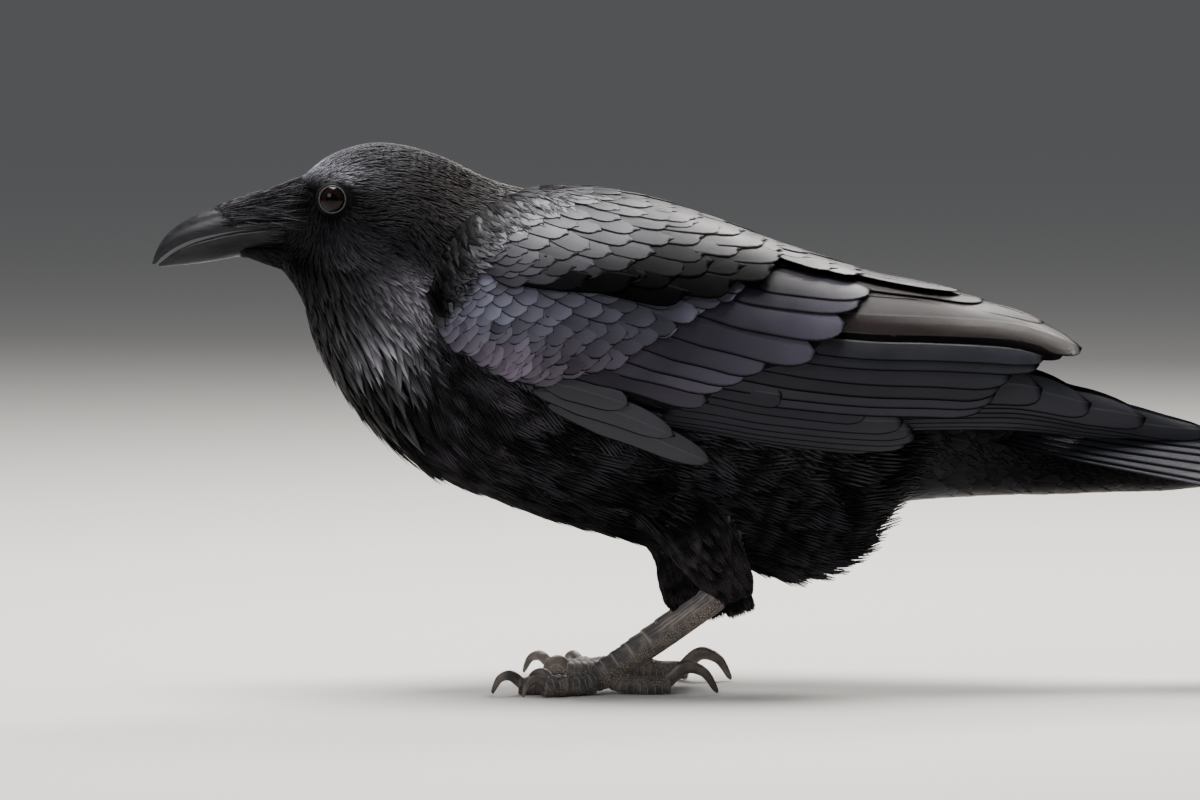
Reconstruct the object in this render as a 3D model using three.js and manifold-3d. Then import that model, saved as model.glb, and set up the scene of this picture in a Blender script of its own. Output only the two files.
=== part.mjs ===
// A common raven, life size, standing with its bill lowered and its wings folded.
// Millimetres, +Z up. The bird faces -X and its left side is towards -Y.
import * as THREE from "three";
import Module from "manifold-3d";

const wasm = await Module();
wasm.setup();

// ---- Driving dimensions -------------------------------------------------
const gap = 0.3; // clearance left between two neighbouring pieces
const ringSides = 20; // points round a section of the body
const limbSides = 8; // points round a leg, toe or claw
const deep = 200; // reach of a cutting prism to either side

// The body's outline from face to tail coverts. Each station is a section through its
// top and bottom point; half is its half width, and waist the share of its height,
// from below, at which it is widest.
const bodyStations = [
  { top: [-147.0, 218.6], bottom: [-155.0, 180.0], half: 12.5, waist: 0.45 },
  { top: [-138.5, 226.4], bottom: [-148.5, 171.5], half: 18.5, waist: 0.48 },
  { top: [-129.0, 231.8], bottom: [-143.6, 161.0], half: 22.5, waist: 0.5 },
  { top: [-115.0, 235.2], bottom: [-139.0, 148.5], half: 26.0, waist: 0.54 },
  { top: [-99.0, 233.9], bottom: [-133.0, 136.5], half: 29.0, waist: 0.55 },
  { top: [-81.7, 228.3], bottom: [-124.7, 123.5], half: 33.0, waist: 0.54 },
  { top: [-64.5, 220.4], bottom: [-113.5, 110.5], half: 38.5, waist: 0.52 },
  { top: [-47.3, 215.9], bottom: [-99.8, 98.5], half: 45.5, waist: 0.5 },
  { top: [-27.9, 214.0], bottom: [-81.7, 88.6], half: 52.0, waist: 0.5 },
  { top: [-4.3, 208.8], bottom: [-58.0, 78.7], half: 55.5, waist: 0.5 },
  { top: [21.5, 198.6], bottom: [-30.1, 69.7], half: 56.0, waist: 0.5 },
  { top: [47.3, 185.0], bottom: [0.0, 61.5], half: 53.0, waist: 0.52 },
  { top: [73.1, 170.0], bottom: [35.0, 55.0], half: 47.0, waist: 0.53 },
  { top: [96.8, 154.0], bottom: [66.0, 48.0], half: 39.0, waist: 0.56 },
  { top: [114.0, 141.0], bottom: [92.0, 58.0], half: 30.0, waist: 0.58 },
  { top: [131.2, 130.0], bottom: [107.0, 76.5], half: 24.0, waist: 0.56 },
  { top: [154.8, 123.0], bottom: [148.3, 81.0], half: 19.5, waist: 0.55 },
  { top: [180.6, 117.5], bottom: [176.3, 81.6], half: 16.5, waist: 0.5 },
  { top: [205.0, 112.0], bottom: [202.0, 82.6], half: 13.5, waist: 0.45 },
  { top: [229.0, 102.0], bottom: [228.0, 83.4], half: 11.0, waist: 0.45 },
  { top: [251.0, 94.0], bottom: [251.0, 86.0], half: 7.0, waist: 0.5 },
];
const bodyPower = 2.15; // 2 is an ellipse, more is squarer

// Where the body is parted, in stations from the face.
const bodyParts = {
  head: [0, 4],
  neck: [4, 7],
  trunk: [7, 14],
  tail_coverts: [14, 20],
};

// The surface over the folded wings: upright sections at x, from low to high, half wide.
const wingEnvelope = [
  { x: -86, high: 203, low: 113, half: 43 },
  { x: -69, high: 209, low: 94, half: 56 },
  { x: -43, high: 214, low: 81, half: 63.5 },
  { x: -9, high: 212.5, low: 74, half: 66.5 },
  { x: 26, high: 203, low: 72, half: 66 },
  { x: 60, high: 190.5, low: 74, half: 62 },
  { x: 95, high: 179.5, low: 79, half: 55 },
  { x: 129, high: 172, low: 85, half: 47 },
  { x: 163, high: 163.5, low: 90, half: 39 },
  { x: 191, high: 149.5, low: 92, half: 33 },
  { x: 232, high: 131, low: 91, half: 27 },
  { x: 284, high: 115.5, low: 88, half: 21 },
  { x: 338, high: 103, low: 85, half: 15 },
];
const wingPower = 2.2;

// The part of the wing under small coverts, seen from the side: from the wing's bend,
// back along the shoulder feathers and forward again along the covert tips.
const shoulderOutline = [
  [-80, 158], [-76.5, 168], [-69, 179.5], [-53, 192], [-34, 198.5], [-9, 203],
  [26, 201], [60, 192], [80, 182], [89, 172], [90, 161], [84, 150.5], [74, 143.5],
  [53, 138.5], [41, 134], [29, 126], [20, 121.5], [7, 121], [-17, 127], [-34, 131.5],
  [-47, 134.5], [-64, 140], [-74.5, 147.5],
];
const shoulderThickness = 8.5;
// How far the shoulder's upper edge stays from the midline, at x.
const shoulderInner = [[-90, 30], [-53, 36], [-20, 24], [26, 9], [60, 1.5], [120, 0.4]];

// Long feathers, in rows. A row runs from its first feather to its last, each with a
// root and a tip seen from the side, a width, and a depth under the wing's surface.
const wingRows = {
  alula: {
    count: 3, thickness: 1.6,
    first: { root: [-52, 134], tip: [-6, 123], width: 10, depth: 4.5 },
    last: { root: [-40, 121], tip: [30, 97.5], width: 15, depth: 7.5 },
  },
  tertials: {
    count: 4, thickness: 1.8,
    first: { root: [56, 188], tip: [146, 168.5], width: 22, depth: 0.8 },
    last: { root: [62, 158], tip: [190, 147], width: 24, depth: 5 },
  },
  secondaries: {
    count: 4, thickness: 2.0,
    first: { root: [45, 145], tip: [153, 129], width: 20, depth: 3.5 },
    last: { root: [5, 117], tip: [112, 103], width: 17, depth: 9 },
  },
  primaries: {
    count: 6, thickness: 2.0,
    first: { root: [80, 138], tip: [192, 130], width: 19, depth: 7 },
    last: { root: [80, 110], tip: [336, 101], width: 15, depth: 11 },
  },
};

// The closed tail, seen from above as one roofed fan whose end is stepped by the feather
// tips: half widths at the root and near the end, and each tip's place sideways and along.
const tail = {
  root: { x: 119, high: 124, half: 15 },
  end: { x: 348, high: 99, half: 31 },
  tips: [[2, 0], [9, 8], [15, 19], [21, 32], [26, 47], [29.5, 63]], // [aside, shorter by]
  tipRadius: 12, // roundness of a feather's end
  roof: { fall: 0.7, ridge: 6 }, // slope to the edges, and roundness along the ridge
  thickness: { middle: 4.2, edge: 1.2 },
};

// Bill: sections from the head to the tip, as for the body.
const upperBill = [
  { top: [-136, 214.5], bottom: [-136, 198.6], half: 11.2 },
  { top: [-158, 212.6], bottom: [-159, 198.2], half: 11.0 },
  { top: [-172, 210.4], bottom: [-172, 197.0], half: 9.8 },
  { top: [-184, 206.4], bottom: [-183, 195.2], half: 8.2 },
  { top: [-195.5, 201.0], bottom: [-192, 192.9], half: 6.3 },
  { top: [-203.2, 195.2], bottom: [-199, 189.8], half: 4.4 },
  { top: [-207.6, 188.4], bottom: [-204.2, 186.3], half: 2.6 },
  { top: [-209.6, 182.4], bottom: [-208.3, 182.3], half: 0.7 },
];
const lowerBill = [
  { top: [-136, 198.2], bottom: [-136, 187.0], half: 10.6 },
  { top: [-158, 197.8], bottom: [-157, 186.7], half: 10.2 },
  { top: [-172, 196.2], bottom: [-171, 185.7], half: 8.8 },
  { top: [-183, 193.9], bottom: [-182, 183.8], half: 7.0 },
  { top: [-192, 191.2], bottom: [-192, 182.4], half: 5.2 },
  { top: [-199, 188.0], bottom: [-199.6, 181.7], half: 3.5 },
  { top: [-203.8, 184.6], bottom: [-204.4, 181.3], half: 1.8 },
  { top: [-206.6, 182.3], bottom: [-206.9, 181.4], half: 0.5 },
];
const bristleCap = { outline: [
  [-135, 224], [-149, 221], [-161, 217], [-174, 212.6], [-183, 209], [-185, 206.8],
  [-179, 203.4], [-166, 201.6], [-150, 200.4], [-135, 200.2],
], lift: [5, 3.6, 1.6, 0.7, 0.5, 0.5, 0.5, 0.5] };
const chinTuft = { outline: [
  [-135, 191], [-152, 190.6], [-165, 189], [-172, 186], [-167, 181.6], [-158, 177.5],
  [-146, 172], [-135, 170],
], lift: Array(8).fill(2.5) };

const eye = { x: -132.2, z: 210.4, radius: 7.4, visible: 6.1, bulge: 2.6 };

// Legs: the feathered shin's axis from the knee down with its radii along and across
// the body, then the bare leg from the heel to the base of the toes.
const legs = {
  left: {
    sign: -1, heel: [39.5, 30, 47], toeBase: [-12, 34, 11.3], turn: 4,
    shin: [[12, 31, 88], [28, 33, 63], [37, 30.5, 49], [40.5, 30, 42.5], [42, 30, 38.5]],
    shinRadii: [[20, 17], [14.5, 13], [11.5, 9.5], [8.5, 7.5], [4, 4]],
  },
  right: {
    sign: 1, heel: [40, 24, 47], toeBase: [-3, 40, 10.8], turn: 22,
    shin: [[2, 31, 88], [20, 33, 63], [25, 30, 46], [26, 28, 36], [27, 27, 31]],
    shinRadii: [[20, 17], [17, 14], [17.5, 13], [15.5, 11], [8, 6]],
  },
};
const tarsusRadii = [[6.3, 4.8], [5.8, 3.9], [5.8, 3.8], [5.8, 4.8], [4.8, 6.2]];
const soleHeight = 3.9; // height of a toe's axis over the floor

// Toes: length, angle from the foot's axis (outwards is positive), radius and claw length.
const toes = {
  middle: { length: 38, angle: 0, radius: 4.2, claw: 14, joints: 3 },
  outer: { length: 31, angle: 24, radius: 3.9, claw: 12, joints: 4 },
  inner: { length: 27, angle: -26, radius: 4.0, claw: 13, joints: 2 },
  hind: { length: 27, angle: 176, radius: 4.4, claw: 25, joints: 1 },
};
const clawRadius = { base: 1.6, perLength: 0.055 };

// ---- Materials ------------------------------------------------------------
const plumage = (name, colour, roughness) =>
  new THREE.MeshStandardMaterial({ name, color: colour, roughness, metalness: 0 });
const materials = {
  coat: plumage("coat", 0x121216, 0.6),
  flight: plumage("flight", 0x17171d, 0.42),
  horn: plumage("horn", 0x1b1c20, 0.32),
  leg: plumage("leg", 0x2c2622, 0.65),
  eye: plumage("eye", 0x120907, 0.05),
};

// ---- Solids ----------------------------------------------------------------
const lerp = (a, b, t) => a + (b - a) * t;
const mix = (a, b, t) => a.map((value, i) => lerp(value, b[i], t));

// Catmull-Rom between the rows of a table of equal number lists.
function smoothRow(rows, at) {
  const last = rows.length - 1;
  const i = Math.min(Math.max(Math.floor(at), 0), last - 1);
  const t = at - i;
  const [a, b, c, d] = [i - 1, i, i + 1, i + 2].map(
    (k) => rows[Math.min(Math.max(k, 0), last)],
  );
  return b.map((value, k) => {
    const startSlope = i === 0 ? c[k] - value : (c[k] - a[k]) / 2;
    const endSlope = i === last - 1 ? c[k] - value : (d[k] - value) / 2;
    const rise = c[k] - value;
    return value + t * (startSlope
      + t * (3 * rise - 2 * startSlope - endSlope
      + t * (startSlope + endSlope - 2 * rise)));
  });
}

// A closed geometry as a solid, turned outwards.
function solidFrom(geometry) {
  const vertProperties = new Float32Array(geometry.getAttribute("position").array);
  const triVerts = new Uint32Array(geometry.index.array);
  const build = () => new wasm.Manifold(
    new wasm.Mesh({ numProp: 3, vertProperties, triVerts }));
  const made = build();
  if (made.volume() > 0) return made;
  for (let i = 0; i < triVerts.length; i += 3) {
    [triVerts[i + 1], triVerts[i + 2]] = [triVerts[i + 2], triVerts[i + 1]];
  }
  return build();
}

function geometryFrom(solid) {
  const { numProp, numVert, vertProperties, triVerts } = solid.getMesh();
  const positions = new Float32Array(numVert * 3);
  for (let i = 0; i < numVert; i++) {
    positions.set(vertProperties.subarray(i * numProp, i * numProp + 3), i * 3);
  }
  const geometry = new THREE.BufferGeometry();
  geometry.setAttribute("position", new THREE.BufferAttribute(positions, 3));
  geometry.setIndex(new THREE.BufferAttribute(triVerts, 1));
  geometry.computeVertexNormals();
  return geometry;
}

// Rings of equal count joined side by side, with both ends closed by a fan.
function loft(rings) {
  const sides = rings[0].length;
  const positions = rings.flat(2);
  const index = [];
  for (let r = 0; r + 1 < rings.length; r++) {
    for (let k = 0; k < sides; k++) {
      const next = (k + 1) % sides;
      const [a, b, c, d] = [r * sides + k, r * sides + next,
        (r + 1) * sides + k, (r + 1) * sides + next];
      index.push(a, b, d, a, d, c);
    }
  }
  const addCap = (ring, first, forward) => {
    const centre = positions.length / 3;
    positions.push(...[0, 1, 2].map((k) => ring.reduce((sum, p) => sum + p[k], 0) / sides));
    for (let k = 0; k < sides; k++) {
      const pair = [first + k, first + ((k + 1) % sides)];
      index.push(centre, ...(forward ? pair.reverse() : pair));
    }
  };
  addCap(rings[0], 0, true);
  addCap(rings.at(-1), (rings.length - 1) * sides, false);
  const geometry = new THREE.BufferGeometry();
  geometry.setAttribute("position", new THREE.Float32BufferAttribute(positions, 3));
  geometry.setIndex(index);
  return solidFrom(geometry);
}

const bent = (value, power) => Math.sign(value) * Math.abs(value) ** (2 / power);

// One section of a body-like loft, grown outwards by grow.
function sectionRing(rows, at, power, grow, sides) {
  const [topX, topZ, lowX, lowZ, half, waist] = smoothRow(rows, at);
  const height = Math.hypot(topX - lowX, topZ - lowZ);
  const [upX, upZ] = [(topX - lowX) / height, (topZ - lowZ) / height];
  return Array.from({ length: sides }, (_, k) => {
    const angle = (2 * Math.PI * k) / sides;
    const up = bent(Math.cos(angle), power);
    const share = up > 0 ? (1 - waist) * height + grow : waist * height + grow;
    const along = waist * height + up * share;
    return [lowX + upX * along, bent(Math.sin(angle), power) * (half + grow), lowZ + upZ * along];
  });
}

const rowsOf = (stations) => stations.map(
  ({ top, bottom, half, waist = 0.5 }) => [...top, ...bottom, half, waist]);
const bodyRows = rowsOf(bodyStations);

// The body between two places along its stations, with a ring at every share of a station.
function bodyLoft(from, to, grow = 0, share = 1) {
  const places = [from];
  for (let at = Math.ceil((from + 1e-3) / share) * share; at < to - 1e-3; at += share) places.push(at);
  return loft([...places, to].map(
    (at) => sectionRing(bodyRows, at, bodyPower, grow, ringSides)));
}

// Half of a bill: a rounded ridge over a flat mouth, or a keel under one.
function billLoft(stations, rounded, lifts = Array(8).fill(0)) {
  const rows = rowsOf(stations);
  const sides = 11;
  return loft(rows.map((_, at) => {
    const [topX, topZ, lowX, lowZ, half] = rows[at];
    const grow = lifts[at];
    const [flat, round] = rounded > 0 ? [[lowX, lowZ], [topX, topZ]] : [[topX, topZ], [lowX, lowZ]];
    return Array.from({ length: sides }, (_, k) => {
      const angle = (Math.PI * k) / (sides - 1);
      const rise = Math.abs(Math.sin(angle)) ** (2 / 2.3);
      const side = bent(Math.cos(angle), 2.1) * (half + grow);
      return [lerp(flat[0], round[0], rise), side,
        lerp(flat[1], round[1], rise) + rounded * grow * (2 * rise - 1)];
    });
  }));
}

// A tapering limb through the given points; radii are in its plane and across it.
function limb(points, radii, steps, grow = 0, sides = limbSides) {
  const curve = new THREE.CatmullRomCurve3(points.map((p) => new THREE.Vector3(...p)));
  const across = new THREE.Vector3(0, 1, 0);
  return loft(Array.from({ length: steps + 1 }, (_, i) => {
    const t = i / steps;
    const centre = curve.getPoint(t);
    const along = curve.getTangent(t);
    if (i === 0 || i === steps) centre.addScaledVector(along, i ? grow : -grow);
    const side = across.clone().addScaledVector(along, -across.dot(along)).normalize();
    const up = new THREE.Vector3().crossVectors(along, side);
    const [inPlane, sideways] = smoothRow(radii, t * (radii.length - 1));
    return Array.from({ length: sides }, (_, k) => {
      const angle = (2 * Math.PI * (k + 0.5)) / sides;
      return centre.clone()
        .addScaledVector(up, Math.cos(angle) * (inPlane + grow))
        .addScaledVector(side, Math.sin(angle) * (sideways + grow)).toArray();
    });
  }));
}

// A prism across the body from an outline seen from the side or, flat, from above.
function prism(outline, low, high, smooth = true, flat = false) {
  const points = outline.map(([a, b]) => new THREE.Vector2(a, b));
  const curve = new THREE.CatmullRomCurve3(
    points.map((p) => new THREE.Vector3(p.x, p.y, 0)), true, "centripetal");
  const shape = new THREE.Shape(smooth
    ? curve.getPoints(Math.round(outline.length * 1.3)).slice(0, -1).map((p) => new THREE.Vector2(p.x, p.y))
    : points);
  const geometry = new THREE.ExtrudeGeometry(shape, { depth: high - low, bevelEnabled: false, steps: 1 });
  geometry.translate(0, 0, low);
  if (!flat) geometry.applyMatrix4(new THREE.Matrix4().set(
    1, 0, 0, 0, 0, 0, 1, 0, 0, 1, 0, 0, 0, 0, 0, 1));
  return solidFrom(welded(geometry));
}

// A copy of a geometry that keeps one vertex at each place.
function welded(geometry) {
  const flat = geometry.index ? geometry.toNonIndexed() : geometry;
  const source = flat.getAttribute("position");
  const places = new Map();
  const positions = [];
  const index = [];
  for (let i = 0; i < source.count; i++) {
    const point = [source.getX(i), source.getY(i), source.getZ(i)];
    const key = point.map((value) => Math.round(value * 1e3)).join();
    if (!places.has(key)) {
      places.set(key, positions.length / 3);
      positions.push(...point);
    }
    index.push(places.get(key));
  }
  const kept = [];
  for (let i = 0; i < index.length; i += 3) {
    const [a, b, c] = index.slice(i, i + 3);
    if (a !== b && b !== c && a !== c) kept.push(a, b, c);
  }
  const made = new THREE.BufferGeometry();
  made.setAttribute("position", new THREE.Float32BufferAttribute(positions, 3));
  made.setIndex(kept);
  return made;
}

// An outline moved outwards by a distance, going by its own turning direction.
function widened(outline, distance) {
  const area = outline.reduce((sum, [x, z], i) => {
    const [nextX, nextZ] = outline[(i + 1) % outline.length];
    return sum + x * nextZ - nextX * z;
  }, 0);
  const outwards = area > 0 ? 1 : -1;
  return outline.map(([x, z], i) => {
    const before = outline.at(i - 1);
    const after = outline[(i + 1) % outline.length];
    const [dx, dz] = [after[0] - before[0], after[1] - before[1]];
    const length = Math.hypot(dx, dz);
    return [x + (outwards * distance * dz) / length, z - (outwards * distance * dx) / length];
  });
}

const halfSpace = (sign, inset) => prism(
  [[-400, sign > 0 ? inset : -deep], [500, sign > 0 ? inset : -deep],
    [500, sign > 0 ? deep : -inset], [-400, sign > 0 ? deep : -inset]],
  -100, 400, false, true);

const floorCutter = prism([[-400, -50], [500, -50], [500, 0], [-400, 0]], -deep, deep, false);

// The biggest body of a cut solid, since a cut can leave crumbs.
const biggest = (solid) => solid.decompose().reduce(
  (best, piece) => (piece.volume() > best.volume() ? piece : best));

// Short edges that cuts leave behind are drawn together to one vertex, as long as the
// surface stays closed and no face turns over.
function tidied(geometry, shortest) {
  const position = geometry.getAttribute("position");
  const points = Array.from({ length: position.count }, (_, i) =>
    new THREE.Vector3().fromBufferAttribute(position, i));
  const faces = [];
  for (let i = 0; i < geometry.index.count; i += 3) {
    faces.push([0, 1, 2].map((k) => geometry.index.getX(i + k)));
  }
  const around = points.map(() => new Set());
  faces.forEach((face, f) => face.forEach((v) => around[v].add(f)));
  const neighbours = (v) => new Set([...around[v]].flatMap((f) => faces[f]).filter((w) => w !== v));
  const normalOf = (face, moved, place) => {
    const [a, b, c] = face.map((v) => (moved.includes(v) ? place : points[v]));
    return new THREE.Vector3().crossVectors(b.clone().sub(a), c.clone().sub(a));
  };
  const edges = faces.flatMap(([a, b, c]) => [[a, b], [b, c], [c, a]])
    .filter(([a, b]) => a < b && points[a].distanceTo(points[b]) < shortest)
    .sort((e, f) => points[e[0]].distanceTo(points[e[1]]) - points[f[0]].distanceTo(points[f[1]]));
  for (const [a, b] of edges) {
    if (!around[a].size || !around[b].size || points[a].distanceTo(points[b]) >= shortest) continue;
    const nextToA = neighbours(a);
    const shared = [...neighbours(b)].filter((v) => nextToA.has(v));
    if (!nextToA.has(b) || shared.length !== 2) continue;
    const kept = [...new Set([...around[a], ...around[b]])]
      .filter((f) => !(faces[f].includes(a) && faces[f].includes(b)));
    const place = [points[a], points[b], points[a].clone().lerp(points[b], 0.5)].find((spot) =>
      kept.every((f) => {
        const before = normalOf(faces[f], [], spot);
        const after = normalOf(faces[f], [a, b], spot);
        if (after.length() < 1e-3) return false;
        if (before.length() < 1e-2) return true;
        const off = before.normalize().dot(spot.clone().sub(points[faces[f][0]]));
        return Math.abs(off) < 0.08 && before.dot(after.normalize()) > 0.9;
      }));
    if (!place) continue;
    for (const f of [...around[a]]) {
      if (!faces[f].includes(b)) continue;
      faces[f].forEach((v) => around[v].delete(f));
      faces[f] = null;
    }
    for (const f of around[b]) {
      faces[f] = faces[f].map((v) => (v === b ? a : v));
      around[a].add(f);
    }
    around[b].clear();
    points[a] = place.clone();
  }
  const made = new THREE.BufferGeometry();
  made.setAttribute("position", new THREE.Float32BufferAttribute(points.flatMap((p) => p.toArray()), 3));
  made.setIndex(faces.filter(Boolean).flat());
  return welded(made);
}

// ---- Wing surface ----------------------------------------------------------
const envelopeRows = wingEnvelope.map(({ x, high, low, half }) => [x, high, low, half]);

function envelopeAt(x) {
  const last = envelopeRows.length - 1;
  const i = Math.max(0, Math.min(last - 1, envelopeRows.findIndex((row) => row[0] > x) - 1));
  const found = x >= envelopeRows[last][0] ? last - 1 : i;
  const t = (x - envelopeRows[found][0]) / (envelopeRows[found + 1][0] - envelopeRows[found][0]);
  const [, high, low, half] = smoothRow(envelopeRows, found + Math.min(Math.max(t, 0), 1));
  return { middle: (high + low) / 2, rise: (high - low) / 2, half, girth: (high - low) / 4 + half / 2 };
}

function envelopePoint(x, angle, depth, sign) {
  const { middle, rise, half } = envelopeAt(x);
  return [x, sign * Math.max(0.4, bent(Math.sin(angle), wingPower) * (half - depth)),
    middle + bent(Math.cos(angle), wingPower) * (rise - depth)];
}

// The angle round the wing's section at which its surface has height z.
function angleAt(x, z) {
  const { middle, rise } = envelopeAt(x);
  const share = Math.min(Math.max((z - middle) / rise, -0.995), 0.995);
  return Math.acos(Math.sign(share) * Math.abs(share) ** (wingPower / 2));
}

// A grid of points, top and underside, joined at its rim into one thin solid.
function sheetSolid(columns, rows, pointAt) {
  const stride = rows + 1;
  const layer = (columns + 1) * stride;
  const positions = [];
  for (const under of [0, 1]) {
    for (let i = 0; i <= columns; i++) {
      for (let j = 0; j <= rows; j++) positions.push(...pointAt(i / columns, j / rows, under));
    }
  }
  const index = [];
  const quad = (a, b, c, d) => index.push(a, b, c, a, c, d);
  for (let i = 0; i < columns; i++) {
    for (let j = 0; j < rows; j++) {
      const a = i * stride + j;
      quad(a, a + 1, a + stride + 1, a + stride);
      quad(layer + a, layer + a + stride, layer + a + stride + 1, layer + a + 1);
    }
  }
  const rim = [];
  for (let j = 0; j < rows; j++) rim.push(j);
  for (let i = 0; i < columns; i++) rim.push(i * stride + rows);
  for (let j = rows; j > 0; j--) rim.push(columns * stride + j);
  for (let i = columns; i > 0; i--) rim.push(i * stride);
  rim.forEach((a, k) => {
    const b = rim[(k + 1) % rim.length];
    quad(a, layer + a, layer + b, b);
  });
  const geometry = new THREE.BufferGeometry();
  geometry.setAttribute("position", new THREE.Float32BufferAttribute(positions, 3));
  geometry.setIndex(index);
  return solidFrom(geometry);
}

// A vane's half width along it, as a share: narrow at the root, round at the tip.
function vaneShare(t) {
  const roundFrom = 0.84;
  const rootShare = Math.min(1, 0.55 + 1.8 * t);
  const tipShare = t < roundFrom ? 1 : Math.sqrt(Math.max(0.01, 1 - ((t - roundFrom) / (1 - roundFrom)) ** 2));
  return rootShare * tipShare;
}
const vaneSteps = [0, 0.4, 0.82, 0.94, 1];

// A feather lying on the wing's surface, with root and tip given from the side.
function wingFeather({ root, tip, width, depth }, thickness, sign) {
  const unrolled = ([x, z]) => [x, angleAt(x, z) * envelopeAt(x).girth];
  const [start, end] = [unrolled(root), unrolled(tip)];
  const length = Math.hypot(end[0] - start[0], end[1] - start[1]);
  const ahead = [(end[0] - start[0]) / length, (end[1] - start[1]) / length];
  return sheetSolid(vaneSteps.length - 1, 2, (u, v, under) => {
    const t = vaneSteps[Math.round(u * (vaneSteps.length - 1))];
    const aside = (v - 0.5) * width * vaneShare(t);
    const centre = mix(start, end, t);
    const x = centre[0] - ahead[1] * aside;
    const around = centre[1] + ahead[0] * aside;
    return envelopePoint(x, Math.max(around / envelopeAt(x).girth, 0.02),
      depth + under * thickness, sign);
  });
}

function featherOf(row, k) {
  const t = row.count > 1 ? k / (row.count - 1) : 0;
  return {
    root: mix(row.first.root, row.last.root, t),
    tip: mix(row.first.tip, row.last.tip, t),
    width: lerp(row.first.width, row.last.width, t),
    depth: lerp(row.first.depth, row.last.depth, t),
  };
}

const wingRow = (row, sign) => wasm.Manifold.union(
  Array.from({ length: row.count }, (_, k) => wingFeather(featherOf(row, k), row.thickness, sign)));

function envelopeLoft(depth) {
  const [first, last] = [envelopeRows[0][0], 140];
  const steps = 9;
  const sides = 22;
  return loft(Array.from({ length: steps + 1 }, (_, i) => {
    const x = lerp(first, last, i / steps);
    const { middle, rise, half } = envelopeAt(x);
    return Array.from({ length: sides }, (_, k) => {
      const angle = (2 * Math.PI * k) / sides;
      return [x, bent(Math.sin(angle), wingPower) * (half - depth),
        middle + bent(Math.cos(angle), wingPower) * (rise - depth)];
    });
  }));
}

function shoulder(sign) {
  const inner = shoulderInner.map(([x, y]) => [x, sign * y]);
  const outer = [[120, sign * deep], [-90, sign * deep]];
  return envelopeLoft(0).subtract(envelopeLoft(shoulderThickness))
    .intersect(prism(shoulderOutline, -deep, deep))
    .intersect(prism([...inner, ...outer], 0, 300, false, true));
}

// ---- Tail -------------------------------------------------------------------
// Where the fan ends at a place aside from the midline: the furthest of the round tips.
function tailReach(aside) {
  const { tips, tipRadius, end } = tail;
  const near = tips.filter(([y]) => Math.abs(aside - y) < tipRadius);
  return Math.max(...near.map(([y, shorter]) => {
    const off = Math.abs(aside - y) / tipRadius;
    return end.x - shorter - tipRadius * (1 - Math.sqrt(1 - off * off));
  }));
}

function tailSolid(grow = 0) {
  const { root, end, thickness } = tail;
  return sheetSolid(4, 18, (u, v, under) => {
    const share = 2 * v - 1;
    const reach = tailReach(Math.abs(share) * end.half) + grow;
    const x = lerp(root.x - grow, reach, u ** 0.8);
    const t = (x - root.x) / (end.x - root.x);
    const y = share * (lerp(root.half, end.half, Math.min(1, t * 1.25)) + grow);
    const ridge = lerp(root.high, end.high, t)
      - tail.roof.fall * (Math.hypot(y, tail.roof.ridge) - tail.roof.ridge);
    const stack = lerp(thickness.middle, thickness.edge, Math.max(Math.abs(share), t));
    return [x, y, ridge + (under ? -stack - grow : grow)];
  });
}

// ---- Legs --------------------------------------------------------------------
const onSide = ([x, y, z], sign) => [x, sign * y, z];

function shinSolid(leg, grow = 0) {
  return limb(leg.shin.map((p) => onSide(p, leg.sign)), leg.shinRadii, 5, grow, 12);
}

function tarsusSolid(leg, grow = 0) {
  const [heel, base] = [onSide(leg.heel, leg.sign), onSide(leg.toeBase, leg.sign)];
  const points = [mix(heel, base, -0.04), mix(heel, base, 0.5), base,
    [base[0] - 6, base[1], base[2] - 4.6]];
  const bowed = points.map((p, i) => (i === 1 ? [p[0], p[1], p[2] - 1.2] : p));
  return limb(bowed, tarsusRadii, 7, grow).subtract(floorCutter);
}

// A toe's direction on the floor, from the foot's turn and the toe's own angle.
function toeDirection(leg, toe) {
  const angle = THREE.MathUtils.degToRad(toe.angle + leg.turn);
  return [-Math.cos(angle), leg.sign * Math.sin(angle)];
}

function toePath(leg, toe) {
  const [dx, dy] = toeDirection(leg, toe);
  const base = onSide(leg.toeBase, leg.sign);
  const at = (distance, z) => [base[0] - 2 + dx * distance, base[1] + dy * distance, z];
  return [at(0, 7.6), at(toe.length * 0.28, 5.0), at(toe.length * 0.62, soleHeight),
    at(toe.length, soleHeight + 0.2)];
}

function toeSolid(leg, toe, grow = 0) {
  const pads = 2 * toe.joints + 1;
  const radii = Array.from({ length: pads + 2 }, (_, i) => {
    const swell = i % 2 ? 0.3 : -0.15;
    const radius = toe.radius * lerp(1.02, 0.82, i / (pads + 1)) + swell;
    return [radius, radius * 0.9];
  });
  return limb(toePath(leg, toe), radii, pads + 2, grow, 7).subtract(floorCutter);
}

// A claw: a quarter to half circle that springs from the toe's end and meets the floor.
function clawSolid(leg, toe) {
  const [dx, dy] = toeDirection(leg, toe);
  const end = toePath(leg, toe).at(-1);
  const reach = toe.claw * 0.78;
  const lift = toe.claw * 0.3;
  const thick = clawRadius.base + clawRadius.perLength * toe.claw;
  const at = (share, z) => [end[0] + dx * reach * share, end[1] + dy * reach * share, z];
  const points = [at(-0.12, end[2] + 0.8), at(0.3, end[2] + lift), at(0.72, end[2] + lift * 0.72),
    at(0.97, end[2] - 1.6), at(1.02, 0.7)];
  const radii = [thick, thick * 0.98, thick * 0.72, thick * 0.42, 0.45]
    .map((radius) => [radius, radius * 0.78]);
  return limb(points, radii, 7, 0, 6).subtract(floorCutter);
}

// ---- Assembly ----------------------------------------------------------------
const raven = new THREE.Group();

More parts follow.
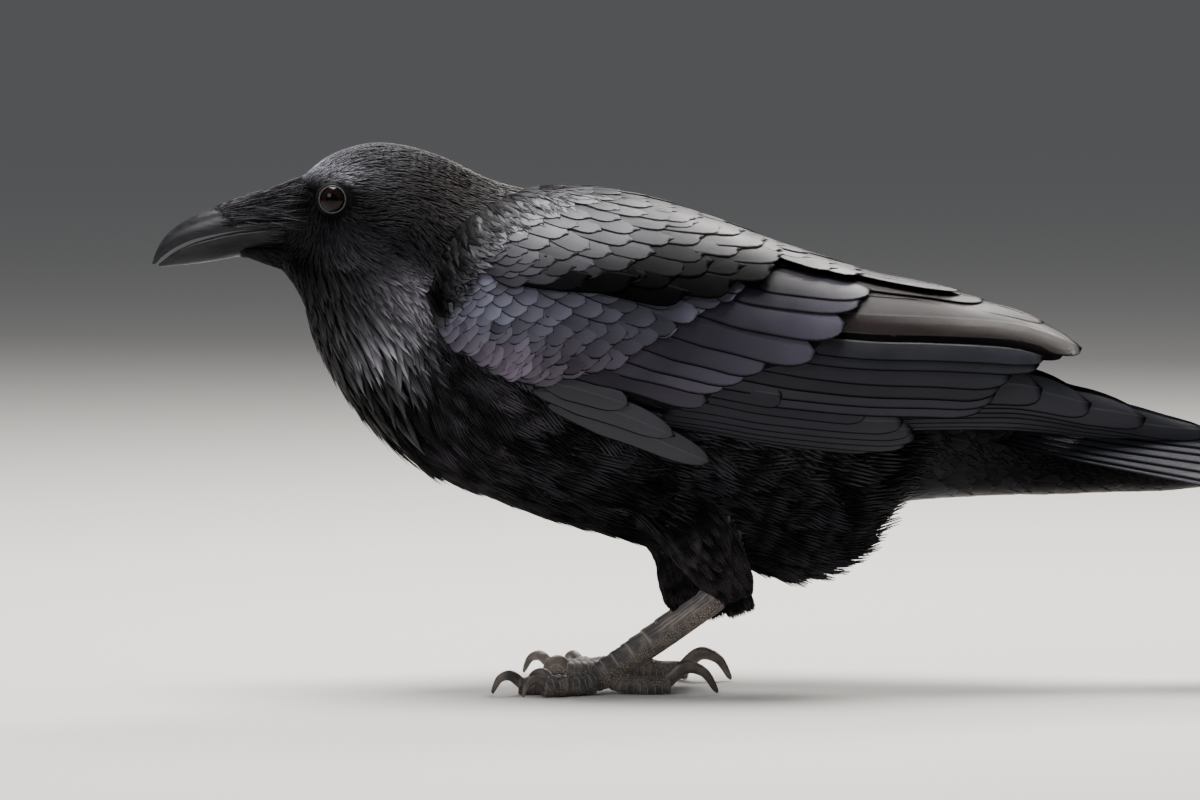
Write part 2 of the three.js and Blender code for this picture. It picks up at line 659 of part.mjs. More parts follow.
function addPiece(name, solid, material) {
  const geometry = tidied(geometryFrom(biggest(solid)), 2);
  geometry.computeVertexNormals();
  const mesh = new THREE.Mesh(geometry, materials[material]);
  mesh.name = name;
  raven.add(mesh);
}

const cutBy = (solid, ...others) => others.reduce((left, other) => left.subtract(other), solid);

const eyeDepth = eye.radius - eye.bulge;
// How far the head's side is from the midline at a place seen from the side.
function headAside(x, z) {
  const points = Array.from({ length: 41 }, (_, i) => sectionRing(bodyRows, i / 10, bodyPower, 0, 80));
  return Math.abs(points.flat().reduce((best, p) =>
    (Math.hypot(p[0] - x, p[2] - z) < Math.hypot(best[0] - x, best[2] - z) ? p : best))[1]);
}
const eyeBall = (sign, grow = 0) => {
  const ball = new THREE.SphereGeometry(eye.radius + grow, 12, 8);
  ball.translate(eye.x, sign * (headAside(eye.x, eye.z) - eyeDepth), eye.z);
  return solidFrom(welded(ball));
};

const wholeBody = bodyLoft(0, 20, gap);
const headGrown = bodyLoft(0, 6, gap, 0.5);

// Head, neck, trunk and tail coverts, parted by thin cuts.
const bodyCuts = {};
for (const [name, [from, to]] of Object.entries(bodyParts)) {
  const start = from === 0 ? 0 : from + gap / 15;
  bodyCuts[name] = bodyLoft(start, to, 0, name === "head" ? 0.5 : 1);
}
const eyes = { left: eyeBall(-1), right: eyeBall(1) };
const sockets = [eyeBall(-1, gap), eyeBall(1, gap)];
addPiece("head", cutBy(bodyCuts.head, ...sockets), "coat");
addPiece("neck", bodyCuts.neck, "coat");
addPiece("eye_left", eyes.left, "eye");
addPiece("eye_right", eyes.right, "eye");

// Bill, with the bristles over its base and the feathers under its chin.
const bristles = billLoft(upperBill, 1, bristleCap.lift)
  .intersect(prism(bristleCap.outline, -deep, deep));
const chin = billLoft(lowerBill, -1, chinTuft.lift)
  .intersect(prism(chinTuft.outline, -deep, deep));
addPiece("bill_upper", cutBy(billLoft(upperBill, 1), headGrown), "horn");
addPiece("bill_lower", cutBy(billLoft(lowerBill, -1), headGrown), "horn");
addPiece("nasal_bristles", cutBy(bristles, billLoft(upperBill, 1, Array(8).fill(gap)), headGrown), "coat");
addPiece("chin_feathers", cutBy(chin, billLoft(lowerBill, -1, Array(8).fill(gap)), headGrown), "coat");

// Tail and its coverts.
const tailBlades = tailSolid();
addPiece("tail", tailBlades, "flight");
const tailSlot = tailSolid(gap);
addPiece("tail_coverts", bodyCuts.tail_coverts.subtract(tailSlot), "coat");
addPiece("trunk", bodyCuts.trunk.subtract(tailSlot), "coat");

// Wings: shoulder first, then each row of long feathers behind the ones before it.
const shoulderCutter = prism(widened(shoulderOutline, gap), -deep, deep);
for (const [side, sign] of [["left", -1], ["right", 1]]) {
  const shoulderPiece = cutBy(shoulder(sign), wholeBody);
  addPiece(`wing_${side}_shoulder`, shoulderPiece, "flight");
  const earlier = [shoulderCutter, wholeBody, halfSpace(-sign, -gap / 2)];
  for (const [name, row] of Object.entries(wingRows)) {
    const grown = { ...row, thickness: row.thickness + 2 * gap,
      first: { ...row.first, depth: row.first.depth - gap, width: row.first.width + 2 * gap },
      last: { ...row.last, depth: row.last.depth - gap, width: row.last.width + 2 * gap } };
    addPiece(`wing_${side}_${name}`, cutBy(wingRow(row, sign), ...earlier, tailSlot), "flight");
    earlier.push(wingRow(grown, sign));
  }
}

// Legs and feet: each piece is cut back from those above it.
for (const [side, leg] of Object.entries(legs)) {
  addPiece(`shin_${side}`, shinSolid(leg).subtract(wholeBody), "coat");
  addPiece(`tarsus_${side}`, cutBy(tarsusSolid(leg), shinSolid(leg, gap)), "leg");
  const nearby = [tarsusSolid(leg, gap)];
  for (const [name, toe] of Object.entries(toes)) {
    addPiece(`toe_${side}_${name}`, cutBy(toeSolid(leg, toe), ...nearby), "leg");
    addPiece(`claw_${side}_${name}`, cutBy(clawSolid(leg, toe), toeSolid(leg, toe, gap)), "horn");
    nearby.push(toeSolid(leg, toe, gap));
  }
}

// The origin is under the middle of the bird, on the floor.
const box = new THREE.Box3().setFromObject(raven);
raven.position.set(-(box.min.x + box.max.x) / 2, -(box.min.y + box.max.y) / 2, -box.min.z);

export default raven;
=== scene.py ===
import math

import bpy
import numpy as np
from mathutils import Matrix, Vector
from mathutils.bvhtree import BVHTree


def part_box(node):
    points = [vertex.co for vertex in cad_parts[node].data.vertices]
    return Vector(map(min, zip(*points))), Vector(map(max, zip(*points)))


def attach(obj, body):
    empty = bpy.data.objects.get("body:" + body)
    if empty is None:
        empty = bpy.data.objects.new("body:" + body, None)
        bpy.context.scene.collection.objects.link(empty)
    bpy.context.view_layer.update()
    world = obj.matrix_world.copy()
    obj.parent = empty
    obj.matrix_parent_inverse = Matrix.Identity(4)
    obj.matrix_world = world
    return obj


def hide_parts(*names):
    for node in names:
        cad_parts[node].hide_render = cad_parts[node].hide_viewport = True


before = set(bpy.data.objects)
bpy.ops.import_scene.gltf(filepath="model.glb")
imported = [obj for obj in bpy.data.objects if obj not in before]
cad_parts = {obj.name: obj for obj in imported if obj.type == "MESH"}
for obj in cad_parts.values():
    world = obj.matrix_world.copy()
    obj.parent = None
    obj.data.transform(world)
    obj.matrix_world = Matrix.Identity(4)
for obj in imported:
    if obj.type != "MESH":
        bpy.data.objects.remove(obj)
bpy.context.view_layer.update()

# Shapes below are drawn in millimetres on the bird's side view, x back and z up, y out
# from its middle. They are set into the frame from the left eye and the head.
mm = 0.001
eyeLow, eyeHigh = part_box("eye_left")
headLow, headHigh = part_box("head")
eyeBall = {"x": -131.0, "z": 210.7, "radius": 7.4, "open": 5.5}
originX = (eyeLow.x + eyeHigh.x) / 2 - eyeBall["x"] * mm
middleY = (headLow.y + headHigh.y) / 2
eyeSide = (middleY - (eyeLow.y + eyeHigh.y) / 2) / mm  # how far the eye's centre is out


def placed(points):
    return np.asarray(points, float) * mm + np.array([originX, middleY, 0.0])


def unplaced(points):
    return (np.asarray(points, float) - np.array([originX, middleY, 0.0])) / mm


def bent(value, power):
    return np.sign(value) * np.abs(value) ** (2 / power)


def smoothRows(rows, at):
    rows, at = np.asarray(rows, float), np.atleast_1d(np.asarray(at, float))
    last = len(rows) - 1
    i = np.clip(np.floor(at).astype(int), 0, last - 1)
    t = (at - i)[:, None]
    a, b, c, d = (rows[np.clip(i + k, 0, last)] for k in (-1, 0, 1, 2))
    start = np.where((i == 0)[:, None], c - b, (c - a) / 2)
    end = np.where((i == last - 1)[:, None], c - b, (d - b) / 2)
    rise = c - b
    return b + t * (start + t * (3 * rise - 2 * start - end + t * (start + end - 2 * rise)))


def unit(vectors):
    vectors = np.asarray(vectors, float)
    return vectors / np.maximum(np.linalg.norm(vectors, axis=-1, keepdims=True), 1e-9)


def ramp(value, low, high):
    t = np.clip((np.asarray(value, float) - low) / (high - low), 0, 1)
    return t * t * (3 - 2 * t)


def between(pair, share):
    return pair[0] + (pair[1] - pair[0]) * share


def squaredTo(normals, vectors, lean=0.0):
    # vectors laid along the surface, or leaning out from it by a little
    return unit(vectors - normals * (np.einsum("ij,ij->i", vectors, normals) - lean)[:, None])


nudge = 0.02  # a small step along a surface, to find which way it runs


def meshFrom(name, points, faces, smooth=True):
    mesh = bpy.data.meshes.new(name)
    mesh.from_pydata([tuple(p) for p in points], [], faces)
    mesh.polygons.foreach_set("use_smooth", [smooth] * len(mesh.polygons))
    mesh.update()
    return mesh


def objectFrom(name, mesh):
    made = bpy.data.objects.new(name, mesh)
    bpy.context.scene.collection.objects.link(made)
    return made


def signedVolume(mesh):
    mesh.calc_loop_triangles()
    co = np.empty(len(mesh.vertices) * 3, np.float32)
    mesh.vertices.foreach_get("co", co)
    corners = np.empty(len(mesh.loop_triangles) * 3, np.int32)
    mesh.loop_triangles.foreach_get("vertices", corners)
    tri = co.reshape(-1, 3)[corners.reshape(-1, 3)].astype(float)
    return float(np.einsum("ij,ij->i", tri[:, 0], np.cross(tri[:, 1], tri[:, 2])).sum() / 6)


def turnedOut(mesh):
    if signedVolume(mesh) < 0:
        mesh.flip_normals()
    return mesh


def loftMesh(name, rings, closed=True):
    rings = np.asarray(rings, float)  # ring, point, xyz in millimetres
    count, sides = rings.shape[:2]
    points = list(placed(rings.reshape(-1, 3)))
    faces = []
    for r in range(count - 1):
        for k in range(sides):
            n = (k + 1) % sides
            faces.append((r * sides + k, r * sides + n, (r + 1) * sides + n, (r + 1) * sides + k))
    if closed:
        for r, order in ((0, 1), (count - 1, -1)):
            points.append(placed(rings[r].mean(0)))
            hub = len(points) - 1
            for k in range(sides):
                n = (k + 1) % sides
                faces.append((hub, r * sides + n, r * sides + k)[::order])
    return turnedOut(meshFrom(name, points, faces))


def setAttribute(mesh, name, kind, values, domain="POINT"):
    field = {"FLOAT": "value", "FLOAT_VECTOR": "vector", "FLOAT2": "vector"}[kind]
    made = mesh.attributes.new(name, kind, domain)
    made.data.foreach_set(field, np.asarray(values, np.float32).ravel())


def addNode(tree, kind, inputs=None, **settings):
    made = tree.nodes.new(kind)
    for key, value in settings.items():
        setattr(made, key, value)
    for key, value in (inputs or {}).items():
        socket = made.inputs[key]
        if isinstance(value, bpy.types.NodeSocket):
            tree.links.new(value, socket)
        else:
            socket.default_value = value
    return made


def math1(tree, operation, a, b=0.0, c=0.0):
    return addNode(tree, "ShaderNodeMath", {0: a, 1: b, 2: c}, operation=operation).outputs[0]


def vector1(tree, operation, a, b=(0, 0, 0), scale=None):
    inputs = {0: a, 1: b}
    if scale is not None:
        inputs = {0: a, "Scale": scale}
    made = addNode(tree, "ShaderNodeVectorMath", inputs, operation=operation)
    return made.outputs["Value" if operation in ("DOT_PRODUCT", "LENGTH") else 0]


def named(tree, name, kind="FLOAT_VECTOR"):
    return addNode(tree, "GeometryNodeInputNamedAttribute", {"Name": name}, data_type=kind).outputs[0]


def newTree(name, inputs):
    tree = bpy.data.node_groups.new(name, "GeometryNodeTree")
    tree.interface.new_socket("Geometry", in_out="INPUT", socket_type="NodeSocketGeometry")
    for label, kind, value in inputs:
        socket = tree.interface.new_socket(label, in_out="INPUT", socket_type=kind)
        if value is not None:
            socket.default_value = value
    tree.interface.new_socket("Geometry", in_out="OUTPUT", socket_type="NodeSocketGeometry")
    return tree


def grown(source, tree, values, name):
    # runs a tree on an object once and keeps the result as a plain mesh object
    modifier = source.modifiers.new("grow", "NODES")
    modifier.node_group = tree
    for item in tree.interface.items_tree:
        if item.item_type == "SOCKET" and item.in_out == "INPUT" and item.name in values:
            modifier[item.identifier] = values[item.name]
    source.update_tag()
    bpy.context.view_layer.update()
    graph = bpy.context.evaluated_depsgraph_get()
    mesh = bpy.data.meshes.new_from_object(source.evaluated_get(graph), depsgraph=graph)
    mesh.name = name
    source.modifiers.remove(modifier)
    bpy.data.objects.remove(source)
    return mesh


bodyShape = {
    "power": 2.15,
    "stations": [  # top x, z, bottom x, z, half width, waist
        (-147, 218.6, -155, 180, 12.5, 0.45), (-138.5, 226.4, -148.5, 171.5, 18.5, 0.48),
        (-129, 231.8, -143.6, 161, 22.5, 0.5), (-115, 235.2, -139, 148.5, 26, 0.54),
        (-99, 233.9, -133, 136.5, 29, 0.55), (-81.7, 228.3, -124.7, 123.5, 33, 0.54),
        (-64.5, 220.4, -113.5, 110.5, 38.5, 0.52), (-47.3, 215.9, -99.8, 98.5, 45.5, 0.5),
        (-27.9, 214, -81.7, 88.6, 52, 0.5), (-4.3, 208.8, -58, 78.7, 55.5, 0.5),
        (21.5, 198.6, -30.1, 69.7, 56, 0.5), (47.3, 185, 0, 61.5, 53, 0.52),
        (73.1, 170, 35, 55, 47, 0.53), (96.8, 154, 66, 48, 39, 0.56),
        (114, 141, 92, 58, 30, 0.58), (131.2, 130, 107, 76.5, 24, 0.56),
        (154.8, 123, 148.3, 81, 19.5, 0.55), (180.6, 117.5, 176.3, 81.6, 16.5, 0.5),
        (205, 112, 202, 82.6, 13.5, 0.45), (229, 102, 228, 83.4, 11, 0.45),
        (251, 94, 251, 86, 7, 0.5),
    ],
    # rises and hollows of the face: x, z, radius, height
    "lumps": [
        (-129, 219.5, 7, 2.0), (-138, 217.5, 5, 1.4), (-132.2, 210.4, 8.5, -1.9), (-146, 213, 6, -1.6),
        (-143, 203, 6, -1.0), (-122, 208, 5, -1.0), (-128, 189, 9, 1.8), (-104, 200, 12, 1.3),
        (-140, 187, 6, -1.8), (-119, 176, 7, -1.2), (-84, 168, 8, -2.2), (-96, 175, 9, 1.2),
    ],
}


def bodyPoint(at, angle, grow=0.0):
    topX, topZ, lowX, lowZ, half, waist = smoothRows(bodyShape["stations"], at).T
    height = np.hypot(topX - lowX, topZ - lowZ)
    up = bent(np.cos(angle), bodyShape["power"])
    share = np.where(up > 0, (1 - waist) * height, waist * height) + grow
    along = (waist * height + up * share) / height
    side = bent(np.sin(angle), bodyShape["power"]) * (half + grow)
    return np.stack([lowX + (topX - lowX) * along, side, lowZ + (topZ - lowZ) * along], -1)


def bodyFrame(at, angle, grow=0.0):
    # point, outward normal and the direction towards the tail
    here = bodyPoint(at, angle, grow)
    back = unit(bodyPoint(at + nudge, angle, grow) - bodyPoint(at - nudge, angle, grow))
    around = unit(bodyPoint(at, angle + nudge, grow) - bodyPoint(at, angle - nudge, grow))
    normal = unit(np.cross(around, back))
    topX, topZ, lowX, lowZ = smoothRows(bodyShape["stations"], at).T[:4]
    outwards = here - np.stack([(topX + lowX) / 2, 0 * topX, (topZ + lowZ) / 2], -1)
    flip = np.sign(np.einsum("ij,ij->i", normal, outwards))[:, None]
    return here, normal * flip, back


def lumpsAt(points, normals):
    lift = np.zeros(len(points))
    for x, z, radius, height in bodyShape["lumps"]:
        off = ((points[:, 0] - x) ** 2 + (points[:, 2] - z) ** 2) / radius ** 2
        lift += height * np.exp(-off)
    return lift * np.clip(np.abs(normals[:, 1]) * 1.6, 0, 1)


def bodyLoft(name, rings=220, sides=120):
    at = np.repeat(np.linspace(0.02, 19.98, rings), sides)
    angle = np.tile(np.arange(sides) * 2 * np.pi / sides, rings)
    points, normals, _ = bodyFrame(at, angle)
    sunk = skinShape["headDepth"] + (skinShape["depth"] - skinShape["headDepth"]) * ramp(at, 3, 7)
    points = points + normals * (lumpsAt(points, normals) - sunk)[:, None]
    return loftMesh(name, points.reshape(rings, sides, 3))


wingShape = {
    "power": 2.2,
    "sections": [  # x, high, low, half
        (-86, 203, 113, 43), (-69, 209, 94, 56), (-43, 214, 81, 63.5), (-9, 212.5, 74, 66.5),
        (26, 203, 72, 66), (60, 190.5, 74, 62), (95, 179.5, 79, 55), (129, 172, 85, 47),
        (163, 163.5, 90, 38), (191, 149.5, 92, 30.5), (232, 131, 91, 21.5), (284, 115.5, 88, 13.5),
        (338, 103, 85, 9.5), (356, 99, 84, 8.5),
    ],
    "shoulder": [
        (-80, 158), (-76.5, 168), (-69, 179.5), (-53, 192), (-34, 198.5), (-9, 203), (26, 201), (60, 192),
        (80, 182), (89, 172), (90, 161), (84, 150.5), (74, 143.5), (53, 138.5), (41, 134), (29, 126),
        (20, 121.5), (7, 121), (-17, 127), (-34, 131.5), (-47, 134.5), (-64, 140), (-74.5, 147.5),
    ],
    "hub": (6, 163), "padShare": 0.985, "padEdge": (0.9, 1.0), "padDrop": 3.0,
    "sheetX": (-104, 356), "sheetTurn": (-0.75, math.pi + 0.1),  # how far the sheet runs and wraps
}


def wingSection(x):
    rows = np.array(wingShape["sections"], float)
    x = np.atleast_1d(np.asarray(x, float))
    found = np.clip(np.searchsorted(rows[:, 0], x, side="right") - 1, 0, len(rows) - 2)
    t = (x - rows[found, 0]) / (rows[found + 1, 0] - rows[found, 0])
    high, low, half = smoothRows(rows[:, 1:], found + np.clip(t, 0, 1)).T
    return (high + low) / 2, (high - low) / 2, half, (high - low) / 4 + half / 2


def wingPoint(x, angle, depth=0.0, sign=-1):
    middle, rise, half, _ = wingSection(x)
    side = sign * bent(np.sin(angle), wingShape["power"]) * (half - depth)
    return np.stack([x, side, middle + bent(np.cos(angle), wingShape["power"]) * (rise - depth)], -1)


def wingAngle(x, z):
    middle, rise, _, _ = wingSection(x)
    share = np.clip((z - middle) / rise, -0.995, 0.995)
    return np.arccos(np.sign(share) * np.abs(share) ** (wingShape["power"] / 2))


def unrolled(points):
    # side view x, z to lengths measured along the wing's surface
    points = np.atleast_2d(np.asarray(points, float))
    x, z = points[:, 0], points[:, 1]
    return np.stack([x, wingAngle(x, z) * wingSection(x)[3]], -1)


def sheetFrom(name, points, flat, columns, outward):
    # a sheet that long feathers are wrapped on, with its unrolled lengths as a map
    starts = [i + j for i in range(0, len(points) - columns, columns) for j in range(columns - 1)]
    faces = [(a, a + 1, a + columns + 1, a + columns) for a in starts]
    mesh = meshFrom(name, placed(points), faces)
    corners = np.empty(len(mesh.loops), np.int32)
    mesh.loops.foreach_get("vertex_index", corners)
    uv = mesh.uv_layers.new(name="flat")
    uv.data.foreach_set("uv", (flat[corners] * mm).astype(np.float32).ravel())
    if mesh.polygons[len(mesh.polygons) // 2].normal.dot(Vector(outward)) < 0:
        mesh.flip_normals()
    return objectFrom(name, mesh)


def wingSheet(sign):
    xs = np.linspace(*wingShape["sheetX"], 150)
    angles = np.linspace(*wingShape["sheetTurn"], 80)
    x, angle = (g.ravel() for g in np.meshgrid(xs, angles, indexing="ij"))
    flat = np.stack([x, angle * wingSection(x)[3]], -1)
    return sheetFrom("wingSheet", wingPoint(x, angle, 0, sign), flat, len(angles), (0, sign, 0))


def shoulderPad(sign, depth, foot):
    outline = smoothRows(wingShape["shoulder"] + wingShape["shoulder"][:1],
                         np.linspace(0, len(wingShape["shoulder"]), 97)[:-1])
    hub, rings = np.array(wingShape["hub"], float), []
    edgeFrom, edgeTo = wingShape["padEdge"]
    for layer, steps in ((0, np.linspace(0.04, 1, 18)), (1, np.linspace(1, 0.04, 18))):
        for share in steps:
            flat = hub + (outline - hub) * share * wingShape["padShare"]
            angle = wingAngle(flat[:, 0], flat[:, 1])
            edge = max(0.0, share - edgeFrom) / (edgeTo - edgeFrom)
            sunk = foot if layer else depth + wingShape["padDrop"] * edge
            rings.append(wingPoint(flat[:, 0], angle, sunk, sign))
    return loftMesh("shoulderPad", rings)


legShape = {
    "left": {
        "sign": -1, "heel": (39.5, 30, 47), "toeBase": (-12, 34, 11.3), "turn": 4,
        "shin": [(12, 31, 88), (28, 33, 63), (37, 30.5, 49), (40.5, 30, 42.5), (42, 30, 38.5)],
        "shinRadii": [(20, 17), (14.5, 13), (11.5, 9.5), (8.5, 7.5), (4, 4)],
    },
    "right": {
        "sign": 1, "heel": (40, 24, 47), "toeBase": (-3, 40, 10.8), "turn": 22,
        "shin": [(2, 31, 88), (20, 33, 63), (25, 30, 46), (26, 28, 36), (27, 27, 31)],
        "shinRadii": [(20, 17), (17, 14), (17.5, 13), (15.5, 11), (8, 6)],
    },
}


def onSide(points, sign):
    return np.asarray(points, float) * np.array([1, sign, 1])


def limbFrame(path, radii, t, angle, grow=0.0):
    path, radii = np.asarray(path, float), np.asarray(radii, float)
    t, angle = np.atleast_1d(t).astype(float), np.atleast_1d(angle)
    span = len(path) - 1
    centre = smoothRows(path, t * span)
    after, before = np.minimum(t * span + nudge, span), np.maximum(t * span - nudge, 0)
    ahead = unit(smoothRows(path, after) - smoothRows(path, before))
    across = unit(np.array([0, 1.0, 0]) - ahead * ahead[:, 1:2])
    up = np.cross(ahead, across)
    size = smoothRows(radii, t * (len(radii) - 1)) + grow
    outwards = up * np.cos(angle)[:, None] * size[:, :1] + across * np.sin(angle)[:, None] * size[:, 1:2]
    normal = unit(up * np.cos(angle)[:, None] / size[:, :1] + across * np.sin(angle)[:, None] / size[:, 1:2])
    return centre + outwards, normal, ahead


def limbRings(path, radii, steps, sides, grow=0.0, swell=None):
    t = np.repeat(np.linspace(0, 1, steps), sides)
    angle = np.tile(np.arange(sides) * 2 * np.pi / sides, steps)
    points, normals, _ = limbFrame(path, radii, t, angle, grow)
    if swell is not None:
        points = points + normals * swell(t, angle)[:, None]
    return points.reshape(steps, sides, 3)


billShape = {
    "upper": [  # top x, z, bottom x, z, half width
        (-136, 214.5, -136, 198.6, 11.2), (-158, 212.6, -159, 198.2, 11), (-172, 210.4, -172, 197, 9.8),
        (-184, 206.4, -183, 195.2, 8.2), (-195.5, 201, -192, 192.9, 6.3), (-203.2, 195.2, -199, 189.8, 4.4),
        (-207.6, 188.4, -204.2, 186.3, 2.6), (-209.6, 182.4, -208.3, 182.3, 0.7)],
    "lower": [
        (-136, 198.2, -136, 187, 10.6), (-158, 197.8, -157, 186.7, 10.2), (-172, 196.2, -171, 185.7, 8.8),
        (-183, 193.9, -182, 183.8, 7), (-192, 191.2, -192, 182.4, 5.2), (-199, 188, -199.6, 181.7, 3.5),
        (-203.8, 184.6, -204.4, 181.3, 1.8), (-206.6, 182.3, -206.9, 181.4, 0.5)],
    "lift": [9.6, 2.8, 0.9, 0.2, 0.2, 0.2, 0.2, 0.2],  # bristles over the upper half
    "chin": [9.4, 6.4, 0.4, -1.2, -1.2, -1.2, -1.2, -1.2], "chinFrom": 0.62,  # and under the lower one
}


def billPoint(half, at, angle, grow=0.0):
    # angle 0 to half a turn, from one mouth edge over the ridge or keel to the other
    rows = np.array(billShape[half], float)
    topX, topZ, lowX, lowZ, wide = smoothRows(rows, at).T
    rise = np.abs(np.sin(angle)) ** (2 / 2.3)
    side = bent(np.cos(angle), 2.1) * (wide + grow)
    if half == "upper":
        x, z, way = lowX + (topX - lowX) * rise, lowZ + (topZ - lowZ) * rise, 1
    else:
        x, z, way = topX + (lowX - topX) * rise, topZ + (lowZ - topZ) * rise, -1
    return np.stack([x, side, z + way * grow * (2 * rise - 1)], -1)


skinShape = {"headDepth": 1.3, "depth": 2.2, "voxel": 1.4, "smoothing": 5, "capDepth": 1.0}


def capLoft(half, reach, grow):
    # the feathered base of the bill, on the bill's own surface
    sides, steps = 28, 16
    rim = 0.12 if half == "upper" else billShape["chinFrom"]
    at = np.repeat(np.linspace(0, reach, steps), sides)
    angle = np.tile(np.linspace(rim, np.pi - rim, sides), steps)
    lift = np.interp(at, range(8), billShape["lift" if half == "upper" else "chin"])
    points = billPoint(half, at, angle, lift + grow)
    return loftMesh(f"{half}Cap", points.reshape(steps, sides, 3))


def joined(name, meshes):
    points, faces, first = [], [], 0
    for mesh in meshes:
        points += [tuple(v.co) for v in mesh.vertices]
        faces += [tuple(first + k for k in p.vertices) for p in mesh.polygons]
        first += len(mesh.vertices)
    return meshFrom(name, points, faces)


def makeSkin():
    depth = skinShape["depth"]
    parts = [bodyLoft("trunkLoft")]
    for leg in legShape.values():
        rings = limbRings(onSide(leg["shin"], leg["sign"]), leg["shinRadii"], 40, 40, -1.2)
        parts.append(loftMesh("shinLoft", rings))
    for sign in (-1, 1):
        parts.append(shoulderPad(sign, depth + 1.2, 18))
    parts.append(capLoft("upper", 2.2, -skinShape["capDepth"]))
    parts.append(capLoft("lower", 2.0, -skinShape["capDepth"]))
    raw = objectFrom("skinRaw", joined("skinRaw", parts))
    remesh = raw.modifiers.new("remesh", "REMESH")
    remesh.mode = "VOXEL"
    remesh.voxel_size = skinShape["voxel"] * mm
    remesh.use_smooth_shade = True
    smooth = raw.modifiers.new("smooth", "SMOOTH")
    smooth.factor = 0.5
    smooth.iterations = skinShape["smoothing"]
    graph = bpy.context.evaluated_depsgraph_get()
    mesh = bpy.data.meshes.new_from_object(raw.evaluated_get(graph), depsgraph=graph)
    bpy.data.objects.remove(raw)
    mesh.name = "raven_skin"
    turnedOut(mesh)
    mesh.polygons.foreach_set("use_smooth", [True] * len(mesh.polygons))
    return objectFrom("raven_skin", mesh)


plumage = {
    "base": (0.0085, 0.0083, 0.0098),
    # named areas: x, z, reach along, reach up, colour; the pale crown, brow, ruff, throat and mantle are
    # painted sheen, and the dark lores, eye's rear, gape's rear, lower throat, belly and undertail are
    # painted shade
    "areas": {
        "crownSheen": (-126, 228, 22, 11, (0.040, 0.040, 0.046)),
        "browSheen": (-133, 221, 14, 5, (0.17, 0.17, 0.195)),
        # lores, eye's rear and gape's rear are near-black: painted shade in the face's hollows
        "loresShade": (-143, 212, 7, 8, (0.0008, 0.0008, 0.001)),
        "eyeRearShade": (-120, 204.5, 7, 5, (0.0008, 0.0008, 0.001)),
        "gapeRearShade": (-145, 187, 9, 6, (0.0006, 0.0006, 0.0008)),
        "nape": (-78, 218, 30, 14, (0.0135, 0.0095, 0.0076)),
        "cheek": (-108, 196, 18, 18, (0.0098, 0.009, 0.0108)),
        "malar": (-127, 189, 8, 6, (0.028, 0.027, 0.033)),
        "ruffSheen": (-98, 174, 16, 8, (0.15, 0.135, 0.165)),
        "throat": (-114, 158, 12, 12, (0.185, 0.18, 0.208)),
        # lower throat near-black: painted shade under the head
        "throatLowShade": (-124, 131, 16, 14, (0.0012, 0.001, 0.0013)),
        "breast": (-86, 108, 24, 14, (0.0115, 0.0098, 0.012)),
        "breastSide": (-68, 131, 15, 13, (0.016, 0.0145, 0.0175)),
        "mantle": (-10, 208, 46, 10, (0.080, 0.078, 0.086)),
        "back": (70, 176, 40, 12, (0.022, 0.022, 0.026)),
        # belly and undertail darker: painted shade on the underside
        "bellyShade": (-10, 76, 80, 30, (0.0048, 0.0045, 0.0056)),
        "undertail": (160, 98, 60, 16, (0.0006, 0.0006, 0.0008)),
    },
}


# the plumage's tone at points, with the painted sheen and shade of the named areas
def toneAt(points):
    points = np.atleast_2d(points)
    total = np.tile(np.array(plumage["base"]), (len(points), 1))
    for x, z, along, up, colour in plumage["areas"].values():
        off = ((points[:, 0] - x) / along) ** 2 + ((points[:, 2] - z) / up) ** 2
        share = np.exp(-off)[:, None]
        total = total * (1 - share) + np.array(colour) * share
    return total


def hiddenSource(name, mesh):
    made = objectFrom(name, mesh)
    made.hide_render = True
    made["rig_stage"] = True
    return made


def vaneMesh(name, shape):
    # u runs from root to tip, v across; the flat underside joins rim to rim
    steps, across = shape["steps"], shape["across"]
    outline, *shaping = shape["outline"]
    points, coords = [], []
    for u in steps:
        half = outline(u, *shaping) / 2
        for j in range(across + 1):
            v = 2 * j / across - 1
            drawn = shape.get("drawn", 0.06) * abs(v) * ramp(u, 0.7, 1.0)  # the tip's corners draw back
            thick = shape["camber"] * (1 - v * v) * (0.35 + 1.3 * half)
            points.append((u - float(drawn), v * half, shape["climb"] * u + thick))
            coords.append((u, (v + 1) / 2))
    stride = across + 1
    faces = []
    for i in range(len(steps) - 1):
        a = i * stride
        for j in range(across):
            faces.append((a + j, a + stride + j, a + stride + j + 1, a + j + 1))
        faces.append((a, a + across, a + stride + across, a + stride))
    faces.append(tuple(range(across + 1)))
    end = (len(steps) - 1) * stride
    faces.append(tuple(end + j for j in range(across, -1, -1)))
    mesh = meshFrom(name, points, faces)
    turnedOut(mesh)
    uv = mesh.uv_layers.new(name="vane")
    for loop in mesh.loops:
        uv.data[loop.index].uv = coords[loop.vertex_index]
    if shape.get("sharp", True):
        rim = set()
        for i in range(len(steps) - 1):
            a = i * stride
            rim.add(tuple(sorted((a, a + stride))))
            rim.add(tuple(sorted((a + across, a + stride + across))))
        marks = [tuple(sorted(e.vertices)) in rim for e in mesh.edges]
        mesh.attributes.new("sharp_edge", "BOOLEAN", "EDGE").data.foreach_set("value", marks)
    return hiddenSource(name, mesh)


def joinedVanes(name, source, strands):
    # several strands side by side as one tuft
    points, faces, coords = [], [], []
    mesh = vanes[source].data
    for aside, turn, length, lift in strands:
        first = len(points)
        cos, sin = math.cos(turn), math.sin(turn)
        for vertex in mesh.vertices:
            x, y, z = vertex.co.x * length, vertex.co.y * 0.24, vertex.co.z * 0.7 + lift * vertex.co.x
            points.append((x * cos - y * sin, x * sin + y * cos + aside, z))
        for polygon in mesh.polygons:
            faces.append(tuple(first + k for k in polygon.vertices))
        coords += [tuple(loop.uv) for loop in mesh.uv_layers["vane"].data]
    mesh = meshFrom(name, points, faces)
    uv = mesh.uv_layers.new(name="vane")
    uv.data.foreach_set("uv", np.array(coords, np.float32).ravel())
    return hiddenSource(name, mesh)


